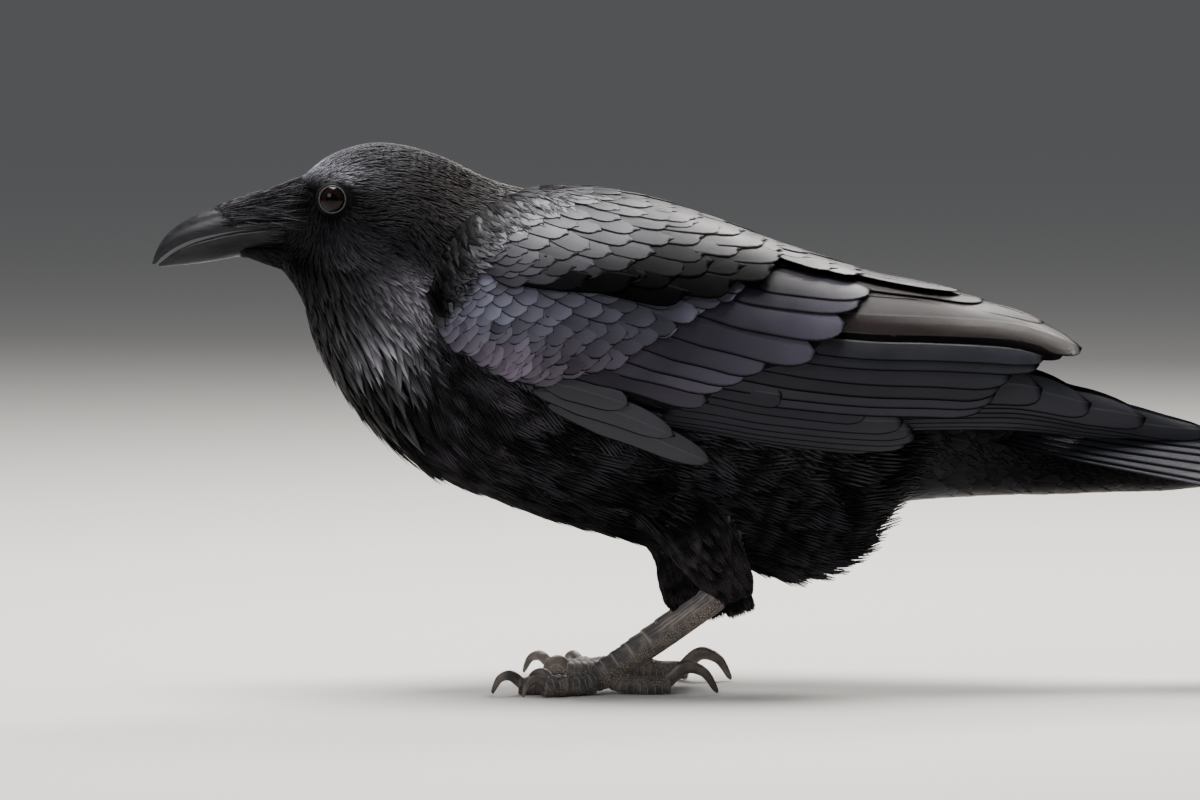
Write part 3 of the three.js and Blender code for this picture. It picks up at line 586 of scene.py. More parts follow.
def roundTip(u, start, root=0.3):
    grow = root + (1 - root) * min(1.0, u / 0.35) ** 0.7
    close = 1.0 if u < start else math.sqrt(max(0.02, 1 - ((u - start) / (1.0 - start)) ** 2))
    return grow * close


def lance(u):
    return (0.35 + 0.65 * math.sin(math.pi * min(1.0, 0.18 + 0.72 * u))) * (1 - ramp(u, 0.55, 1.02) * 0.92)


def strand(u):
    return (0.5 + 0.5 * min(1.0, 4 * u)) * (1 - 0.88 * u ** 1.6)


fineSteps = [i / 30 for i in range(27)] + [0.89, 0.925, 0.955, 0.98, 1]
ovalSteps = [i / 18 for i in range(14)] + [0.8, 0.85, 0.9, 0.94, 0.97, 1]
vaneShapes = {
    # cells from root to tip and across, the outline with where it rounds off and how wide its root is,
    # how domed it is and how far its tip stands off
    "wisp": {"steps": [0, 0.4, 0.75, 1], "across": 2, "outline": (strand,), "camber": 0.35, "climb": 0.5,
             "sharp": False},
    "bristle": {"steps": [0, 0.35, 0.7, 1], "across": 2, "outline": (strand,), "camber": 0.4, "climb": 0.6,
                "sharp": False},
    "hackle": {"steps": [0, 0.2, 0.42, 0.62, 0.8, 0.92, 1], "across": 2, "outline": (lance,), "camber": 0.3,
               "climb": 1.0},
    "scale": {"steps": [0, 0.25, 0.5, 0.7, 0.82, 0.91, 0.97, 1], "across": 6, "outline": (roundTip, 0.66),
              "camber": 0.2, "climb": 1.0},
    "blade": {"steps": fineSteps, "across": 6, "outline": (roundTip, 0.86, 0.55), "camber": 0.16,
              "climb": 1.0, "drawn": 0.006},
    "oval": {"steps": ovalSteps, "across": 6, "outline": (roundTip, 0.7, 0.5), "camber": 0.16, "climb": 1.0,
             "drawn": 0.02},
    "slip": {"steps": ovalSteps, "across": 6, "outline": (roundTip, 0.7, 0.1), "camber": 0.16, "climb": 1.0,
             "drawn": 0.02},
}
tuftStrands = [  # aside, turn, length, lift
    (-0.38, -0.022, 0.80, 0.15), (-0.22, 0.006, 0.94, 0.5), (-0.07, -0.010, 1.0, 0.2),
    (0.06, 0.014, 0.9, 0.65), (0.2, -0.004, 1.0, 0.35), (0.34, 0.026, 0.84, 0.1),
]
vanes = {name: vaneMesh(f"{name}Vane", shape) for name, shape in vaneShapes.items()}
vanes["tuft"] = joinedVanes("tuftVane", "bristle", tuftStrands)
print("vanes ready")


def newVaneTree(name, surface):
    tree = newTree(name, [("Vane", "NodeSocketObject", None), (surface, "NodeSocketObject", None),
                          ("Patch", "NodeSocketFloat", 0.003), ("Material", "NodeSocketMaterial", None)])
    return tree, addNode(tree, "NodeGroupInput").outputs


def standingVanes(tree, given):
    # a vane stands at each point, turned to its lie
    vane = addNode(tree, "GeometryNodeObjectInfo", {"Object": given["Vane"]}).outputs["Geometry"]
    turn = addNode(tree, "FunctionNodeAxesToRotation", {0: named(tree, "outward"), 1: named(tree, "lie")},
                   primary_axis="Z", secondary_axis="X").outputs[0]
    stood = addNode(tree, "GeometryNodeInstanceOnPoints", {
        "Points": given["Geometry"], "Instance": vane, "Rotation": turn, "Scale": named(tree, "size")})
    return addNode(tree, "GeometryNodeRealizeInstances", {0: stood.outputs[0]}).outputs[0]


def coatTree():
    # each vertex of a vane is drawn down to the guide's surface
    tree, given = newVaneTree("coatTree", "Guide")
    real = standingVanes(tree, given)
    guide = addNode(tree, "GeometryNodeObjectInfo", {"Object": given["Guide"]}).outputs["Geometry"]
    here = addNode(tree, "GeometryNodeInputPosition").outputs[0]
    near = addNode(tree, "GeometryNodeProximity", {0: guide}, target_element="FACES").outputs[0]
    normal = addNode(tree, "GeometryNodeInputNormal").outputs[0]
    facing = addNode(tree, "GeometryNodeSampleNearestSurface", {"Mesh": guide, "Value": normal},
                     data_type="FLOAT_VECTOR").outputs[0]
    fromRoot = vector1(tree, "SUBTRACT", here, named(tree, "root"))
    height = vector1(tree, "DOT_PRODUCT", fromRoot, named(tree, "outward"))
    height = math1(tree, "ADD", height, named(tree, "lift", "FLOAT"))
    lain = vector1(tree, "ADD", near, vector1(tree, "SCALE", facing, scale=height))
    cling = addNode(tree, "ShaderNodeMix", {0: named(tree, "cling", "FLOAT"), 4: here, 5: lain},
                    data_type="VECTOR").outputs[1]
    moved = addNode(tree, "GeometryNodeSetPosition", {"Geometry": real, "Position": cling}).outputs[0]
    finishTree(tree, moved, given)
    return tree


def finishGeometry(tree, geometry, given):
    done = addNode(tree, "GeometryNodeSetMaterial", {"Geometry": geometry, "Material": given["Material"]})
    addNode(tree, "NodeGroupOutput", {0: done.outputs[0]})


def finishTree(tree, geometry, given):
    # each vane's bake patch sits at its root's place, then the material is set
    spread = vector1(tree, "SUBTRACT", named(tree, "vane"), (0.5, 0.5, 0))
    patch = vector1(tree, "SCALE", spread, scale=given["Patch"])
    patch = vector1(tree, "ADD", patch, named(tree, "rootUv"))
    stored = addNode(tree, "GeometryNodeStoreNamedAttribute",
                     {"Geometry": geometry, "Name": "OFBake", "Value": patch},
                     data_type="FLOAT2", domain="CORNER").outputs[0]
    for name in ("size", "lie", "outward", "root", "rootUv", "cling", "lift"):
        stored = addNode(tree, "GeometryNodeRemoveAttribute", {"Geometry": stored, "Name": name}).outputs[0]
    finishGeometry(tree, stored, given)


def wrapTree():
    # vanes are laid out flat, then wrapped on a sheet by its unrolled map
    tree, given = newVaneTree("wrapTree", "Sheet")
    real = standingVanes(tree, given)
    sheet = addNode(tree, "GeometryNodeObjectInfo", {"Object": given["Sheet"]}).outputs["Geometry"]
    here = addNode(tree, "GeometryNodeInputPosition").outputs[0]
    # roll tips the lower edge out, and sway bends the vane in its own plane
    fromRoot = vector1(tree, "SUBTRACT", here, named(tree, "root"))
    ahead = vector1(tree, "DOT_PRODUCT", fromRoot, named(tree, "lie"))
    aside = vector1(tree, "DOT_PRODUCT", fromRoot, named(tree, "side"))
    bow = math1(tree, "MULTIPLY", math1(tree, "MULTIPLY", ahead, ahead), named(tree, "sway", "FLOAT"))
    swayed = vector1(tree, "ADD", here, vector1(tree, "SCALE", named(tree, "side"), scale=bow))
    parts = addNode(tree, "ShaderNodeSeparateXYZ", {0: swayed}).outputs
    height = math1(tree, "ADD", parts[2], math1(tree, "MULTIPLY", aside, named(tree, "roll", "FLOAT")))
    flat = addNode(tree, "ShaderNodeCombineXYZ", {0: parts[0], 1: parts[1], 2: 0.0}).outputs[0]
    fromSheet = []
    for kind in ("GeometryNodeInputPosition", "GeometryNodeInputNormal"):
        value = addNode(tree, kind).outputs[0]
        place = {"Mesh": sheet, "Value": value, 2: named(tree, "flat"), "Sample UV": flat}
        sample = addNode(tree, "GeometryNodeSampleUVSurface", place, data_type="FLOAT_VECTOR")
        fromSheet.append(sample.outputs[0])
    onSheet, facing = fromSheet
    wrapped = vector1(tree, "ADD", onSheet, vector1(tree, "SCALE", facing, scale=height))
    moved = addNode(tree, "GeometryNodeSetPosition", {"Geometry": real, "Position": wrapped}).outputs[0]
    for name in ("side", "sway", "roll"):
        moved = addNode(tree, "GeometryNodeRemoveAttribute", {"Geometry": moved, "Name": name}).outputs[0]
    finishTree(tree, moved, given)
    return tree


trees = {"coat": coatTree(), "wrap": wrapTree()}
print("trees ready")


def growCoat(name, roots, normals, lie, size, vane, guide, material, tone=None, lift=0.0, cling=1.0, uv=None):
    # all inputs in millimetres; one row for each feather
    count = len(roots)
    source = objectFrom(name + "Roots", meshFrom(name + "Roots", placed(roots), []))
    mesh = source.data
    setAttribute(mesh, "outward", "FLOAT_VECTOR", normals)
    setAttribute(mesh, "lie", "FLOAT_VECTOR", lie)
    setAttribute(mesh, "root", "FLOAT_VECTOR", placed(roots))
    setAttribute(mesh, "size", "FLOAT_VECTOR", np.asarray(size) * mm)
    setAttribute(mesh, "tone", "FLOAT_VECTOR", toneAt(roots) if tone is None else tone)
    setAttribute(mesh, "chance", "FLOAT", np.random.default_rng(count).random(count))
    setAttribute(mesh, "lift", "FLOAT", np.full(count, lift * mm))
    setAttribute(mesh, "cling", "FLOAT", np.broadcast_to(cling, count))
    setAttribute(mesh, "rootUv", "FLOAT_VECTOR", uv if uv is not None else np.zeros((count, 3)))
    made = grown(source, trees["coat"], {"Vane": vanes[vane], "Guide": guide, "Material": material}, name)
    return objectFrom(name, turnedOut(made))


def newMaterial(name):
    material = bpy.data.materials.new(name)
    material.use_nodes = True
    tree = material.node_tree
    tree.nodes.clear()
    output = addNode(tree, "ShaderNodeOutputMaterial")
    shader = addNode(tree, "ShaderNodeBsdfPrincipled")
    tree.links.new(shader.outputs[0], output.inputs["Surface"])
    return material, tree, shader


def colourMix(tree, share, first, second):
    # colours are given as three numbers, or as a socket
    ends = [c if isinstance(c, bpy.types.NodeSocket) else (*c, 1) for c in (first, second)]
    return addNode(tree, "ShaderNodeMix", {0: share, 6: ends[0], 7: ends[1]}, data_type="RGBA").outputs[2]


def spread(tree, value, low, high, to=(0.0, 1.0)):
    return addNode(tree, "ShaderNodeMapRange", {0: value, 1: low, 2: high, 3: to[0], 4: to[1]}).outputs[0]


def attribute(tree, name, output="Vector"):
    return addNode(tree, "ShaderNodeAttribute", attribute_name=name).outputs[output]


def partsOf(tree, vector):
    return addNode(tree, "ShaderNodeSeparateXYZ", {0: vector}).outputs


def noise(tree, place, scale, detail):
    return addNode(tree, "ShaderNodeTexNoise", {"Vector": place, "Scale": scale, "Detail": detail}).outputs[0]


def objectNoise(tree, scale, detail=3.0, stretch=(1, 1, 1)):
    place = addNode(tree, "ShaderNodeTexCoord").outputs["Object"]
    place = addNode(tree, "ShaderNodeMapping", {"Vector": place, "Scale": stretch}).outputs[0]
    return noise(tree, place, scale, detail)


def colourFrom(tree, shader, colour, rough, ior):
    # a number is set on the shader's own socket, anything else is linked
    tree.links.new(colour, shader.inputs["Base Color"])
    if isinstance(rough, bpy.types.NodeSocket):
        tree.links.new(rough, shader.inputs["Roughness"])
    else:
        shader.inputs["Roughness"].default_value = rough
    shader.inputs["IOR"].default_value = ior


def bumped(tree, shader, height, distance, strength=1.0):
    bump = addNode(tree, "ShaderNodeBump", {"Height": height, "Distance": distance, "Strength": strength})
    tree.links.new(bump.outputs[0], shader.inputs["Normal"])


featherLooks = {
    # barbs along the vane and their slant, how dark the rim is (dark fringe and painted shadow between
    # feathers) and where it starts, how far the shade runs from root to tip (painted shade under the next
    # feather, painted light on the exposed tip) and from feather to feather, over what spread of chance, then
    # gloss
    "faceCoat": {
        "barbs": 3, "slant": 1.0, "stripe": 0.05, "rim": 0.2, "rimFrom": 0.6, "shaft": 0.0, "root": 0.3,
        "tip": 1.35, "vary": (0.05, 3.1), "mixed": (0.2, 1.6), "rough": 0.50, "ior": 1.30, "bump": 0.00003},
    "throatCoat": {
        "barbs": 9, "slant": 3.0, "stripe": 0.05, "rim": 0.8, "rimFrom": 0.45, "shaft": 0.2, "root": 0.3,
        "tip": 1.3, "vary": (0.12, 2.4), "mixed": (0.2, 1.6), "rough": 0.42, "ior": 1.36, "bump": 0.00003},
    "bodyCoat": {
        "barbs": 5, "slant": 2.0, "stripe": 0.08, "rim": 0.4, "rimFrom": 0.6, "shaft": 0.0, "root": 0.3,
        "tip": 1.9, "vary": (0.35, 4.2), "mixed": (0.6, 1.6), "rough": 0.55, "ior": 1.25, "bump": 0.00005},
    "covertCoat": {
        "barbs": 30, "slant": 6.0, "stripe": 0.035, "rim": 0.95, "rimFrom": 0.86, "shaft": 0.15, "root": 0.55,
        "tip": 1.15, "vary": (0.65, 1.4), "mixed": (0.2, 1.6), "rough": 0.45, "ior": 1.31, "bump": 0.00002},
    "flightCoat": {
        "barbs": 210, "slant": 22.0, "stripe": 0.07, "rim": 0.95, "rimFrom": 0.88, "shaft": 0.5, "root": 0.9,
        "tip": 1.05, "vary": (0.75, 1.3), "mixed": (0.2, 1.6), "rough": 0.40, "ior": 1.36, "bump": 0.00005},
}
# the rim tint is partly the vane's own dark fringe and partly painted shadow in the gap between feathers
featherTints = {"rim": (0.0012, 0.0012, 0.0015), "shaft": (0.07, 0.067, 0.064), "gloss": (0.92, 0.92, 1.0),
                "deep": (0.001, 0.014)}  # tones between which the gloss comes in


def featherMaterial(name):
    look = featherLooks[name]
    material, tree, shader = newMaterial(name)
    along, across, _ = partsOf(tree, addNode(tree, "ShaderNodeUVMap", uv_map="vane").outputs[0])
    off = math1(tree, "ABSOLUTE", math1(tree, "SUBTRACT", math1(tree, "MULTIPLY", across, 2.0), 1.0))
    # barbs run out and back from the shaft
    phase = math1(tree, "MULTIPLY", along, look["barbs"])
    phase = math1(tree, "SUBTRACT", phase, math1(tree, "MULTIPLY", off, look["slant"]))
    wobble = objectNoise(tree, 900.0, 2.0)
    phase = math1(tree, "ADD", phase, math1(tree, "MULTIPLY", wobble, 1.6))
    barbs = math1(tree, "SINE", math1(tree, "MULTIPLY", phase, 2 * math.pi))
    rim = spread(tree, off, look["rimFrom"], 0.97)
    tip = spread(tree, along, 1 - (1 - look["rimFrom"]) * 0.3, 0.995)
    edge = math1(tree, "MULTIPLY", math1(tree, "MAXIMUM", rim, tip), look["rim"])
    shaft = math1(tree, "MULTIPLY", spread(tree, off, 0.07, 0.03), look["shaft"])
    patchy = objectNoise(tree, 60.0, 4.0)
    mixed = math1(tree, "ADD", attribute(tree, "chance", "Fac"), math1(tree, "MULTIPLY", patchy, 0.8))
    shade = spread(tree, mixed, *look["mixed"], look["vary"])
    # painted shade and light: each vane is darker at its root, under the next feather, and lighter at its
    # exposed tip
    shade = math1(tree, "MULTIPLY", shade, spread(tree, along, 0.45, 0.9, (look["root"], look["tip"])))
    striped = math1(tree, "ADD", 0.94, math1(tree, "MULTIPLY", barbs, look["stripe"]))
    shade = math1(tree, "MULTIPLY", shade, striped)
    colour = vector1(tree, "SCALE", attribute(tree, "tone", "Color"), scale=shade)
    # the dark rim: the vane's own dark fringe and painted shadow in the gap under the next feather
    colour = colourMix(tree, edge, colour, featherTints["rim"])
    colour = colourMix(tree, math1(tree, "MULTIPLY", shaft, 0.6), colour, featherTints["shaft"])
    rough = spread(tree, patchy, 0.3, 0.75, (look["rough"] - 0.05, look["rough"] + 0.12))
    rough = math1(tree, "ADD", rough, math1(tree, "MULTIPLY", edge, 0.3))
    colourFrom(tree, shader, colour, rough, look["ior"])
    # the gloss fails at the frayed rim, under the next feather and where the bird is blackest
    frayed = spread(tree, edge, 0.0, 0.9, (0.5, 0.05))
    gloss = math1(tree, "MULTIPLY", frayed, spread(tree, shade, 0.2, 1.2, (0.5, 1.0)))
    deep = spread(tree, attribute(tree, "tone", "Fac"), *featherTints["deep"], (0.13, 1.0))
    tree.links.new(math1(tree, "MULTIPLY", gloss, deep), shader.inputs["Specular IOR Level"])
    shader.inputs["Specular Tint"].default_value = (*featherTints["gloss"], 1)
    height = math1(tree, "ADD", math1(tree, "MULTIPLY", barbs, 0.5), math1(tree, "MULTIPLY", shaft, 2.0))
    bumped(tree, shader, height, look["bump"])
    return material


def skinMaterial():
    # down under the coat, with the coat's markings, painted sheen and shade included
    material, tree, shader = newMaterial("skinDown")
    fine = objectNoise(tree, 700.0, 4.0, (1, 1, 2.2))
    shade = spread(tree, fine, 0.3, 0.75, (0.15, 0.5))
    colour = vector1(tree, "SCALE", attribute(tree, "tone", "Color"), scale=shade)
    colourFrom(tree, shader, colour, 0.85, 1.2)
    bumped(tree, shader, fine, 0.0006)
    return material


hornLook = {
    "dark": (0.008, 0.008, 0.0095), "light": (0.024, 0.0242, 0.029), "streak": (0.030, 0.027, 0.025),
    "base": (0.002, 0.0018, 0.002), "baseX": (-0.192, -0.164),  # the bill darkens towards its base
    "ior": 1.38, "bump": 0.00018,
}


def hornMaterial():
    material, tree, shader = newMaterial("billHorn")
    broad = objectNoise(tree, 90.0, 5.0, (0.5, 1, 1.2))
    streak = objectNoise(tree, 420.0, 4.0, (0.22, 1, 1.4))
    fine = objectNoise(tree, 2200.0, 2.0)
    colour = colourMix(tree, spread(tree, broad, 0.35, 0.7), hornLook["dark"], hornLook["light"])
    colour = colourMix(tree, spread(tree, streak, 0.58, 0.75, (0.0, 0.4)), colour, hornLook["streak"])
    along = partsOf(tree, addNode(tree, "ShaderNodeTexCoord").outputs["Object"])[0]
    near = spread(tree, along, *hornLook["baseX"])
    colour = colourMix(tree, math1(tree, "MULTIPLY", near, 0.8), colour, hornLook["base"])
    colourFrom(tree, shader, colour, spread(tree, streak, 0.3, 0.75, (0.26, 0.46)), hornLook["ior"])
    # its gloss drops towards its base, and it is glossy where it faces up and dull where it faces down:
    # painted sheen on top
    facing = partsOf(tree, addNode(tree, "ShaderNodeNewGeometry").outputs["Normal"])[2]
    gloss = spread(tree, near, 0.0, 1.0, (0.75, 0.16))
    gloss = math1(tree, "MULTIPLY", gloss, spread(tree, facing, -0.25, 0.35, (0.16, 1.0)))
    tree.links.new(gloss, shader.inputs["Specular IOR Level"])
    height = math1(tree, "ADD", streak, math1(tree, "MULTIPLY", fine, 0.25))
    bumped(tree, shader, height, hornLook["bump"])
    return material


clawLook = {"dark": (0.040, 0.036, 0.034), "light": (0.16, 0.13, 0.11), "ior": 1.4, "bump": 0.0002}


def clawMaterial():
    material, tree, shader = newMaterial("clawHorn")
    broad = objectNoise(tree, 160.0, 4.0)
    fine = objectNoise(tree, 1500.0, 3.0, (0.4, 1, 1))
    colour = colourMix(tree, spread(tree, broad, 0.35, 0.7), clawLook["dark"], clawLook["light"])
    colourFrom(tree, shader, colour, spread(tree, fine, 0.3, 0.75, (0.28, 0.48)), clawLook["ior"])
    bumped(tree, shader, fine, clawLook["bump"])
    return material


legLook = {
    "plate": (0.058, 0.055, 0.060), "worn": (0.26, 0.22, 0.20), "plateRimDustAndHighlight": (0.24, 0.21, 0.19),
    "crack": (0.050, 0.043, 0.038), "pebble": (0.23, 0.195, 0.17), "dust": (0.26, 0.215, 0.18),
    "pebbleScale": 950.0, "ior": 1.38, "bump": 0.0004,
}


def legMaterial():
    # dark plates with pale rims in front, fine dusty scales behind
    material, tree, shader = newMaterial("legScales")
    place = addNode(tree, "ShaderNodeTexCoord").outputs["Object"]
    cells = addNode(tree, "ShaderNodeTexVoronoi", {"Vector": place, "Scale": legLook["pebbleScale"]},
                    feature="DISTANCE_TO_EDGE").outputs["Distance"]
    plateAt, plated, ridged = partsOf(tree, attribute(tree, "plate"))
    dust = objectNoise(tree, 240.0, 5.0)
    fine = objectNoise(tree, 1800.0, 3.0)
    saw = math1(tree, "FRACT", math1(tree, "ADD", plateAt, math1(tree, "MULTIPLY", dust, 0.22)))
    rim = math1(tree, "MAXIMUM", spread(tree, saw, 0.82, 0.95), spread(tree, saw, 0.05, 0.0))
    rim = math1(tree, "MULTIPLY", rim, ridged)
    streak = spread(tree, noise(tree, attribute(tree, "round"), 2.2, 5.0), 0.46, 0.66)
    streak = math1(tree, "MULTIPLY", streak, spread(tree, ridged, 1.0, 0.0, (0.25, 1.0)))
    plate = colourMix(tree, streak, legLook["plate"], legLook["worn"])
    # pale plate rims: partly dust and partly painted highlight on the plates' raised edges
    plate = colourMix(tree, rim, plate, legLook["plateRimDustAndHighlight"])
    grain = spread(tree, cells, 0.02, 0.2)
    pebble = colourMix(tree, grain, legLook["crack"], legLook["pebble"])
    colour = colourMix(tree, plated, pebble, plate)
    colour = colourMix(tree, spread(tree, dust, 0.46, 0.72, (0.0, 0.55)), colour, legLook["dust"])
    colourFrom(tree, shader, colour, spread(tree, fine, 0.3, 0.7, (0.45, 0.7)), legLook["ior"])
    back = math1(tree, "MULTIPLY", grain, math1(tree, "SUBTRACT", 1.0, plated))
    height = math1(tree, "ADD", back, math1(tree, "ADD", rim, math1(tree, "MULTIPLY", fine, 0.3)))
    bumped(tree, shader, height, legLook["bump"])
    return material


eyeLook = {
    "iris": ((0.004, 0.002, 0.0016), (0.011, 0.0048, 0.0036)), "rim": (0.002, 0.0015, 0.0015),
    "pupil": (0.0008, 0.0008, 0.001), "irisTo": (0.58, 0.75), "pupilTo": (0.36, 0.31), "ior": 1.23,
}


def eyeMaterial():
    # a black pupil in a dark brown iris, by the angle from the gaze
    material, tree, shader = newMaterial("eyeGloss")
    polar = attribute(tree, "polar", "Fac")
    fibre = objectNoise(tree, 1600.0, 4.0)
    iris = colourMix(tree, spread(tree, fibre, 0.3, 0.7), *eyeLook["iris"])
    rimmed = colourMix(tree, spread(tree, polar, *eyeLook["irisTo"]), iris, eyeLook["rim"])
    colour = colourMix(tree, spread(tree, polar, *eyeLook["pupilTo"]), rimmed, eyeLook["pupil"])
    colourFrom(tree, shader, colour, spread(tree, fibre, 0.3, 0.7, (0.04, 0.08)), eyeLook["ior"])
    return material


lidLooks = {
    "lid": {"dark": (0.030, 0.030, 0.033), "light": (0.10, 0.10, 0.105), "ior": 1.35},
    "socket": {"dark": (0.002, 0.002, 0.0025), "light": (0.007, 0.0065, 0.007), "ior": 1.18},
}


def lidMaterial(name, look):
    material, tree, shader = newMaterial(name)
    grain = objectNoise(tree, 2600.0, 3.0)
    colour = colourMix(tree, spread(tree, grain, 0.35, 0.65), look["dark"], look["light"])
    colourFrom(tree, shader, colour, spread(tree, grain, 0.3, 0.7, (0.5, 0.75)), look["ior"])
    bumped(tree, shader, grain, 0.0002)
    return material


materials = {name: featherMaterial(name) for name in featherLooks}
materials["skin"] = skinMaterial()
materials["horn"] = hornMaterial()
materials["claw"] = clawMaterial()
materials["leg"] = legMaterial()
materials["eye"] = eyeMaterial()
materials["lid"] = lidMaterial("lidRing", lidLooks["lid"])
materials["socket"] = lidMaterial("eyeSocket", lidLooks["socket"])
print("materials ready")


def finishPiece(piece, replaced=(), material=None):
    if material is not None:
        piece.data.materials.clear()
        piece.data.materials.append(material)
    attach(piece, "root")
    if replaced:
        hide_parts(*replaced)
    print(piece.name, len(piece.data.polygons), "faces")
    return piece


skin = makeSkin()
skinPoints = np.empty(len(skin.data.vertices) * 3, np.float32)
skin.data.vertices.foreach_get("co", skinPoints)
skinPoints = unplaced(skinPoints.reshape(-1, 3))
setAttribute(skin.data, "tone", "FLOAT_VECTOR", toneAt(skinPoints))
skinFaces = [tuple(p.vertices) for p in skin.data.polygons]
skinTree = BVHTree.FromPolygons([tuple(p) for p in skinPoints], skinFaces)
finishPiece(skin, ["head", "neck", "trunk", "tail_coverts", "shin_left", "shin_right",
                                   "nasal_bristles", "chin_feathers"], materials["skin"])


coatShape = {
    # station, then feather length and width on top, at the side and below
    "sizes": [
        (0, 3.6, 0.68, 3.6, 0.7, 7, 1.0), (1.5, 4.2, 0.8, 4.2, 0.8, 11, 1.4),
        (3, 6, 0.95, 5.6, 0.95, 19, 2.4),
        (4.5, 9, 1.15, 8.5, 1.15, 26, 3.4), (6, 12, 1.6, 11, 1.5, 28, 4.3), (7, 13.5, 6.5, 14, 6, 26, 6),
        (8.5, 16, 9, 18, 9, 23, 9), (11, 20, 12, 20, 11.5, 22, 11), (14, 24, 13, 24, 12, 26, 10),
        (17, 28, 12, 28, 12, 32, 11), (20, 28, 11, 28, 11, 32, 11),
    ],
    "rowGap": 0.36, "aside": 0.66,
    "turn": ((0, 2, 4, 7, 12, 14, 15), (0.10, 0.12, 0.18, 0.26, 0.26, 0.2, 0.06)),  # how unruly, by station
    # how feathers lie on the face and throat: x, z and a direction back and up
    "flow": [
        (-137.6, 223.6, 1, 0.75), (-126.9, 231.3, 1, 0.45), (-109.7, 233.9, 1, 0), (-90.3, 230.5, 1, -0.2),
        (-68.8, 220.6, 1, -0.4), (-47.3, 212, 1, -0.3), (-135.5, 218.4, 1, 0.25), (-122.6, 217.6, 1, 0),
        (-144.9, 207.7, -1, -0.35), (-141, 199, -0.35, -1), (-147.5, 191.8, -0.8, -0.45),
        (-152.7, 203.4, -1, -0.1), (-132.4, 200.4, 0.15, -1), (-125.6, 201.2, 0.8, -0.6),
        (-129, 188.3, 0.5, -0.8), (-116.1, 206.8, 0.8, 0.35), (-105.4, 209.8, 1, -0.15),
        (-95.9, 200.4, 0.6, -0.8),
        (-90.3, 190.5, 0.55, -0.8), (-114, 192.6, 1, -0.15), (-103.2, 183.2, 0.85, -0.55),
        (-118.3, 179.7, 0.7, -0.7), (-73.1, 196.9, 1, -0.1), (-81.7, 177.6, 0.5, -0.9),
        (-77.4, 166.8, 0.35, -1),
        (-137.6, 178.9, 0.45, -0.9), (-107.5, 170.3, 0.75, -0.65), (-150.5, 173.3, 0.35, -1),
        (-161.2, 181.9, 0.2, -1), (-133.3, 149.6, 0.4, -1), (-103.2, 147.5, 0.5, -0.9),
        (-86, 123.8, 0.6, -0.9), (-120.4, 123.8, 0.55, -0.9), (-103, 106.6, 0.8, -0.75),
        (-68.8, 93.7, 1, -0.45), (-17.2, 72, 1, -0.35), (-34, 102, 1, -0.4), (25.8, 63.6, 1, -0.3),
    ],
    "flowReach": 4.0, "flowRest": 24.0, "cling": (0.55, 1),  # how closely loose feathers lie
}


def flowAt(points, normals, back):
    marks = np.array(coatShape["flow"], float)
    off = (points[:, None, 0] - marks[None, :, 0]) ** 2 + (points[:, None, 2] - marks[None, :, 1]) ** 2
    share = 1 / (off + coatShape["flowReach"] ** 2) ** 1.5
    way = unit(marks[:, 2:])
    sideways = np.einsum("ij,jk->ik", share, way)
    rest = 1 / coatShape["flowRest"] ** 3
    flow = back * rest
    flow[:, 0] += sideways[:, 0]
    flow[:, 2] += sideways[:, 1]
    return squaredTo(normals, flow)


def sizeAt(at, angle):
    rows = np.array(coatShape["sizes"], float)
    columns = [np.interp(at, rows[:, 0], rows[:, k]) for k in range(1, 7)]
    up = np.cos(angle)
    top = up > 0
    share = np.where(top, up ** 2, ramp(-up, -0.1, 0.5))
    length = columns[2] + (np.where(top, columns[0], columns[4]) - columns[2]) * share
    width = columns[3] + (np.where(top, columns[1], columns[5]) - columns[3]) * share
    return length, width


def coatRoots():
    # rows of roots round the body, each row a fixed share of a feather behind the last
    stations = np.linspace(0.05, 19.7, 400)
    angles = np.linspace(0, 2 * np.pi, 181)
    at, angle = (g.ravel() for g in np.meshgrid(stations, angles, indexing="ij"))
    grid = bodyPoint(at, angle).reshape(len(stations), len(angles), 3)
    length = sizeAt(at, angle)[0].reshape(len(stations), len(angles))
    gap = coatShape["rowGap"] * (length[1:] + length[:-1]) / 2
    step = np.linalg.norm(np.diff(grid, axis=0), axis=2) / gap
    phase = np.vstack([np.zeros(len(angles)), np.cumsum(step, 0)])
    found = []
    for row in range(int(phase.max())):
        live = phase[-1] > row
        rowAt = np.array([np.interp(row, phase[:, k], stations) for k in range(len(angles))])
        line = bodyPoint(rowAt, angles)
        wide = sizeAt(rowAt, angles)[1] * coatShape["aside"]
        pace = np.linalg.norm(np.diff(line, axis=0), axis=1) / ((wide[1:] + wide[:-1]) / 2)
        count = np.concatenate([[0], np.cumsum(pace)])
        total = max(3, round(count[-1]))
        marks = (np.arange(total) + (0.5 if row % 2 else 0.0)) * count[-1] / total
        spots = np.interp(marks, count, angles)
        keep = np.interp(spots, angles, live.astype(float)) > 0.5
        found += [(np.interp(a, angles, rowAt), a) for a in spots[keep]]
    return np.array(found)


def showing(points, reach=4.6):
    # roots that the wings, eyes and legs don't cover
    kept = np.ones(len(points), bool)
    for i, point in enumerate(points):
        near = skinTree.find_nearest(Vector(point))
        kept[i] = near[3] is not None and near[3] < reach
    return kept


coatKinds = {
    # vane, finish, how domed, lift
    "coat_head": ("wisp", "faceCoat", 0.75, 0.1),
    "coat_neck": ("wisp", "faceCoat", 0.9, 0.1),
    "coat_throat": ("hackle", "throatCoat", 1.8, 0.1),
    "coat_mantle": ("scale", "covertCoat", 1.0, 0.2),
    "coat_breast_left": ("tuft", "bodyCoat", 1.5, 0.1),
    "coat_breast_right": ("tuft", "bodyCoat", 1.5, 0.1),
    "coat_rump": ("scale", "covertCoat", 0.9, 0.1),
    "coat_undertail": ("scale", "covertCoat", 0.7, 0.1),
}


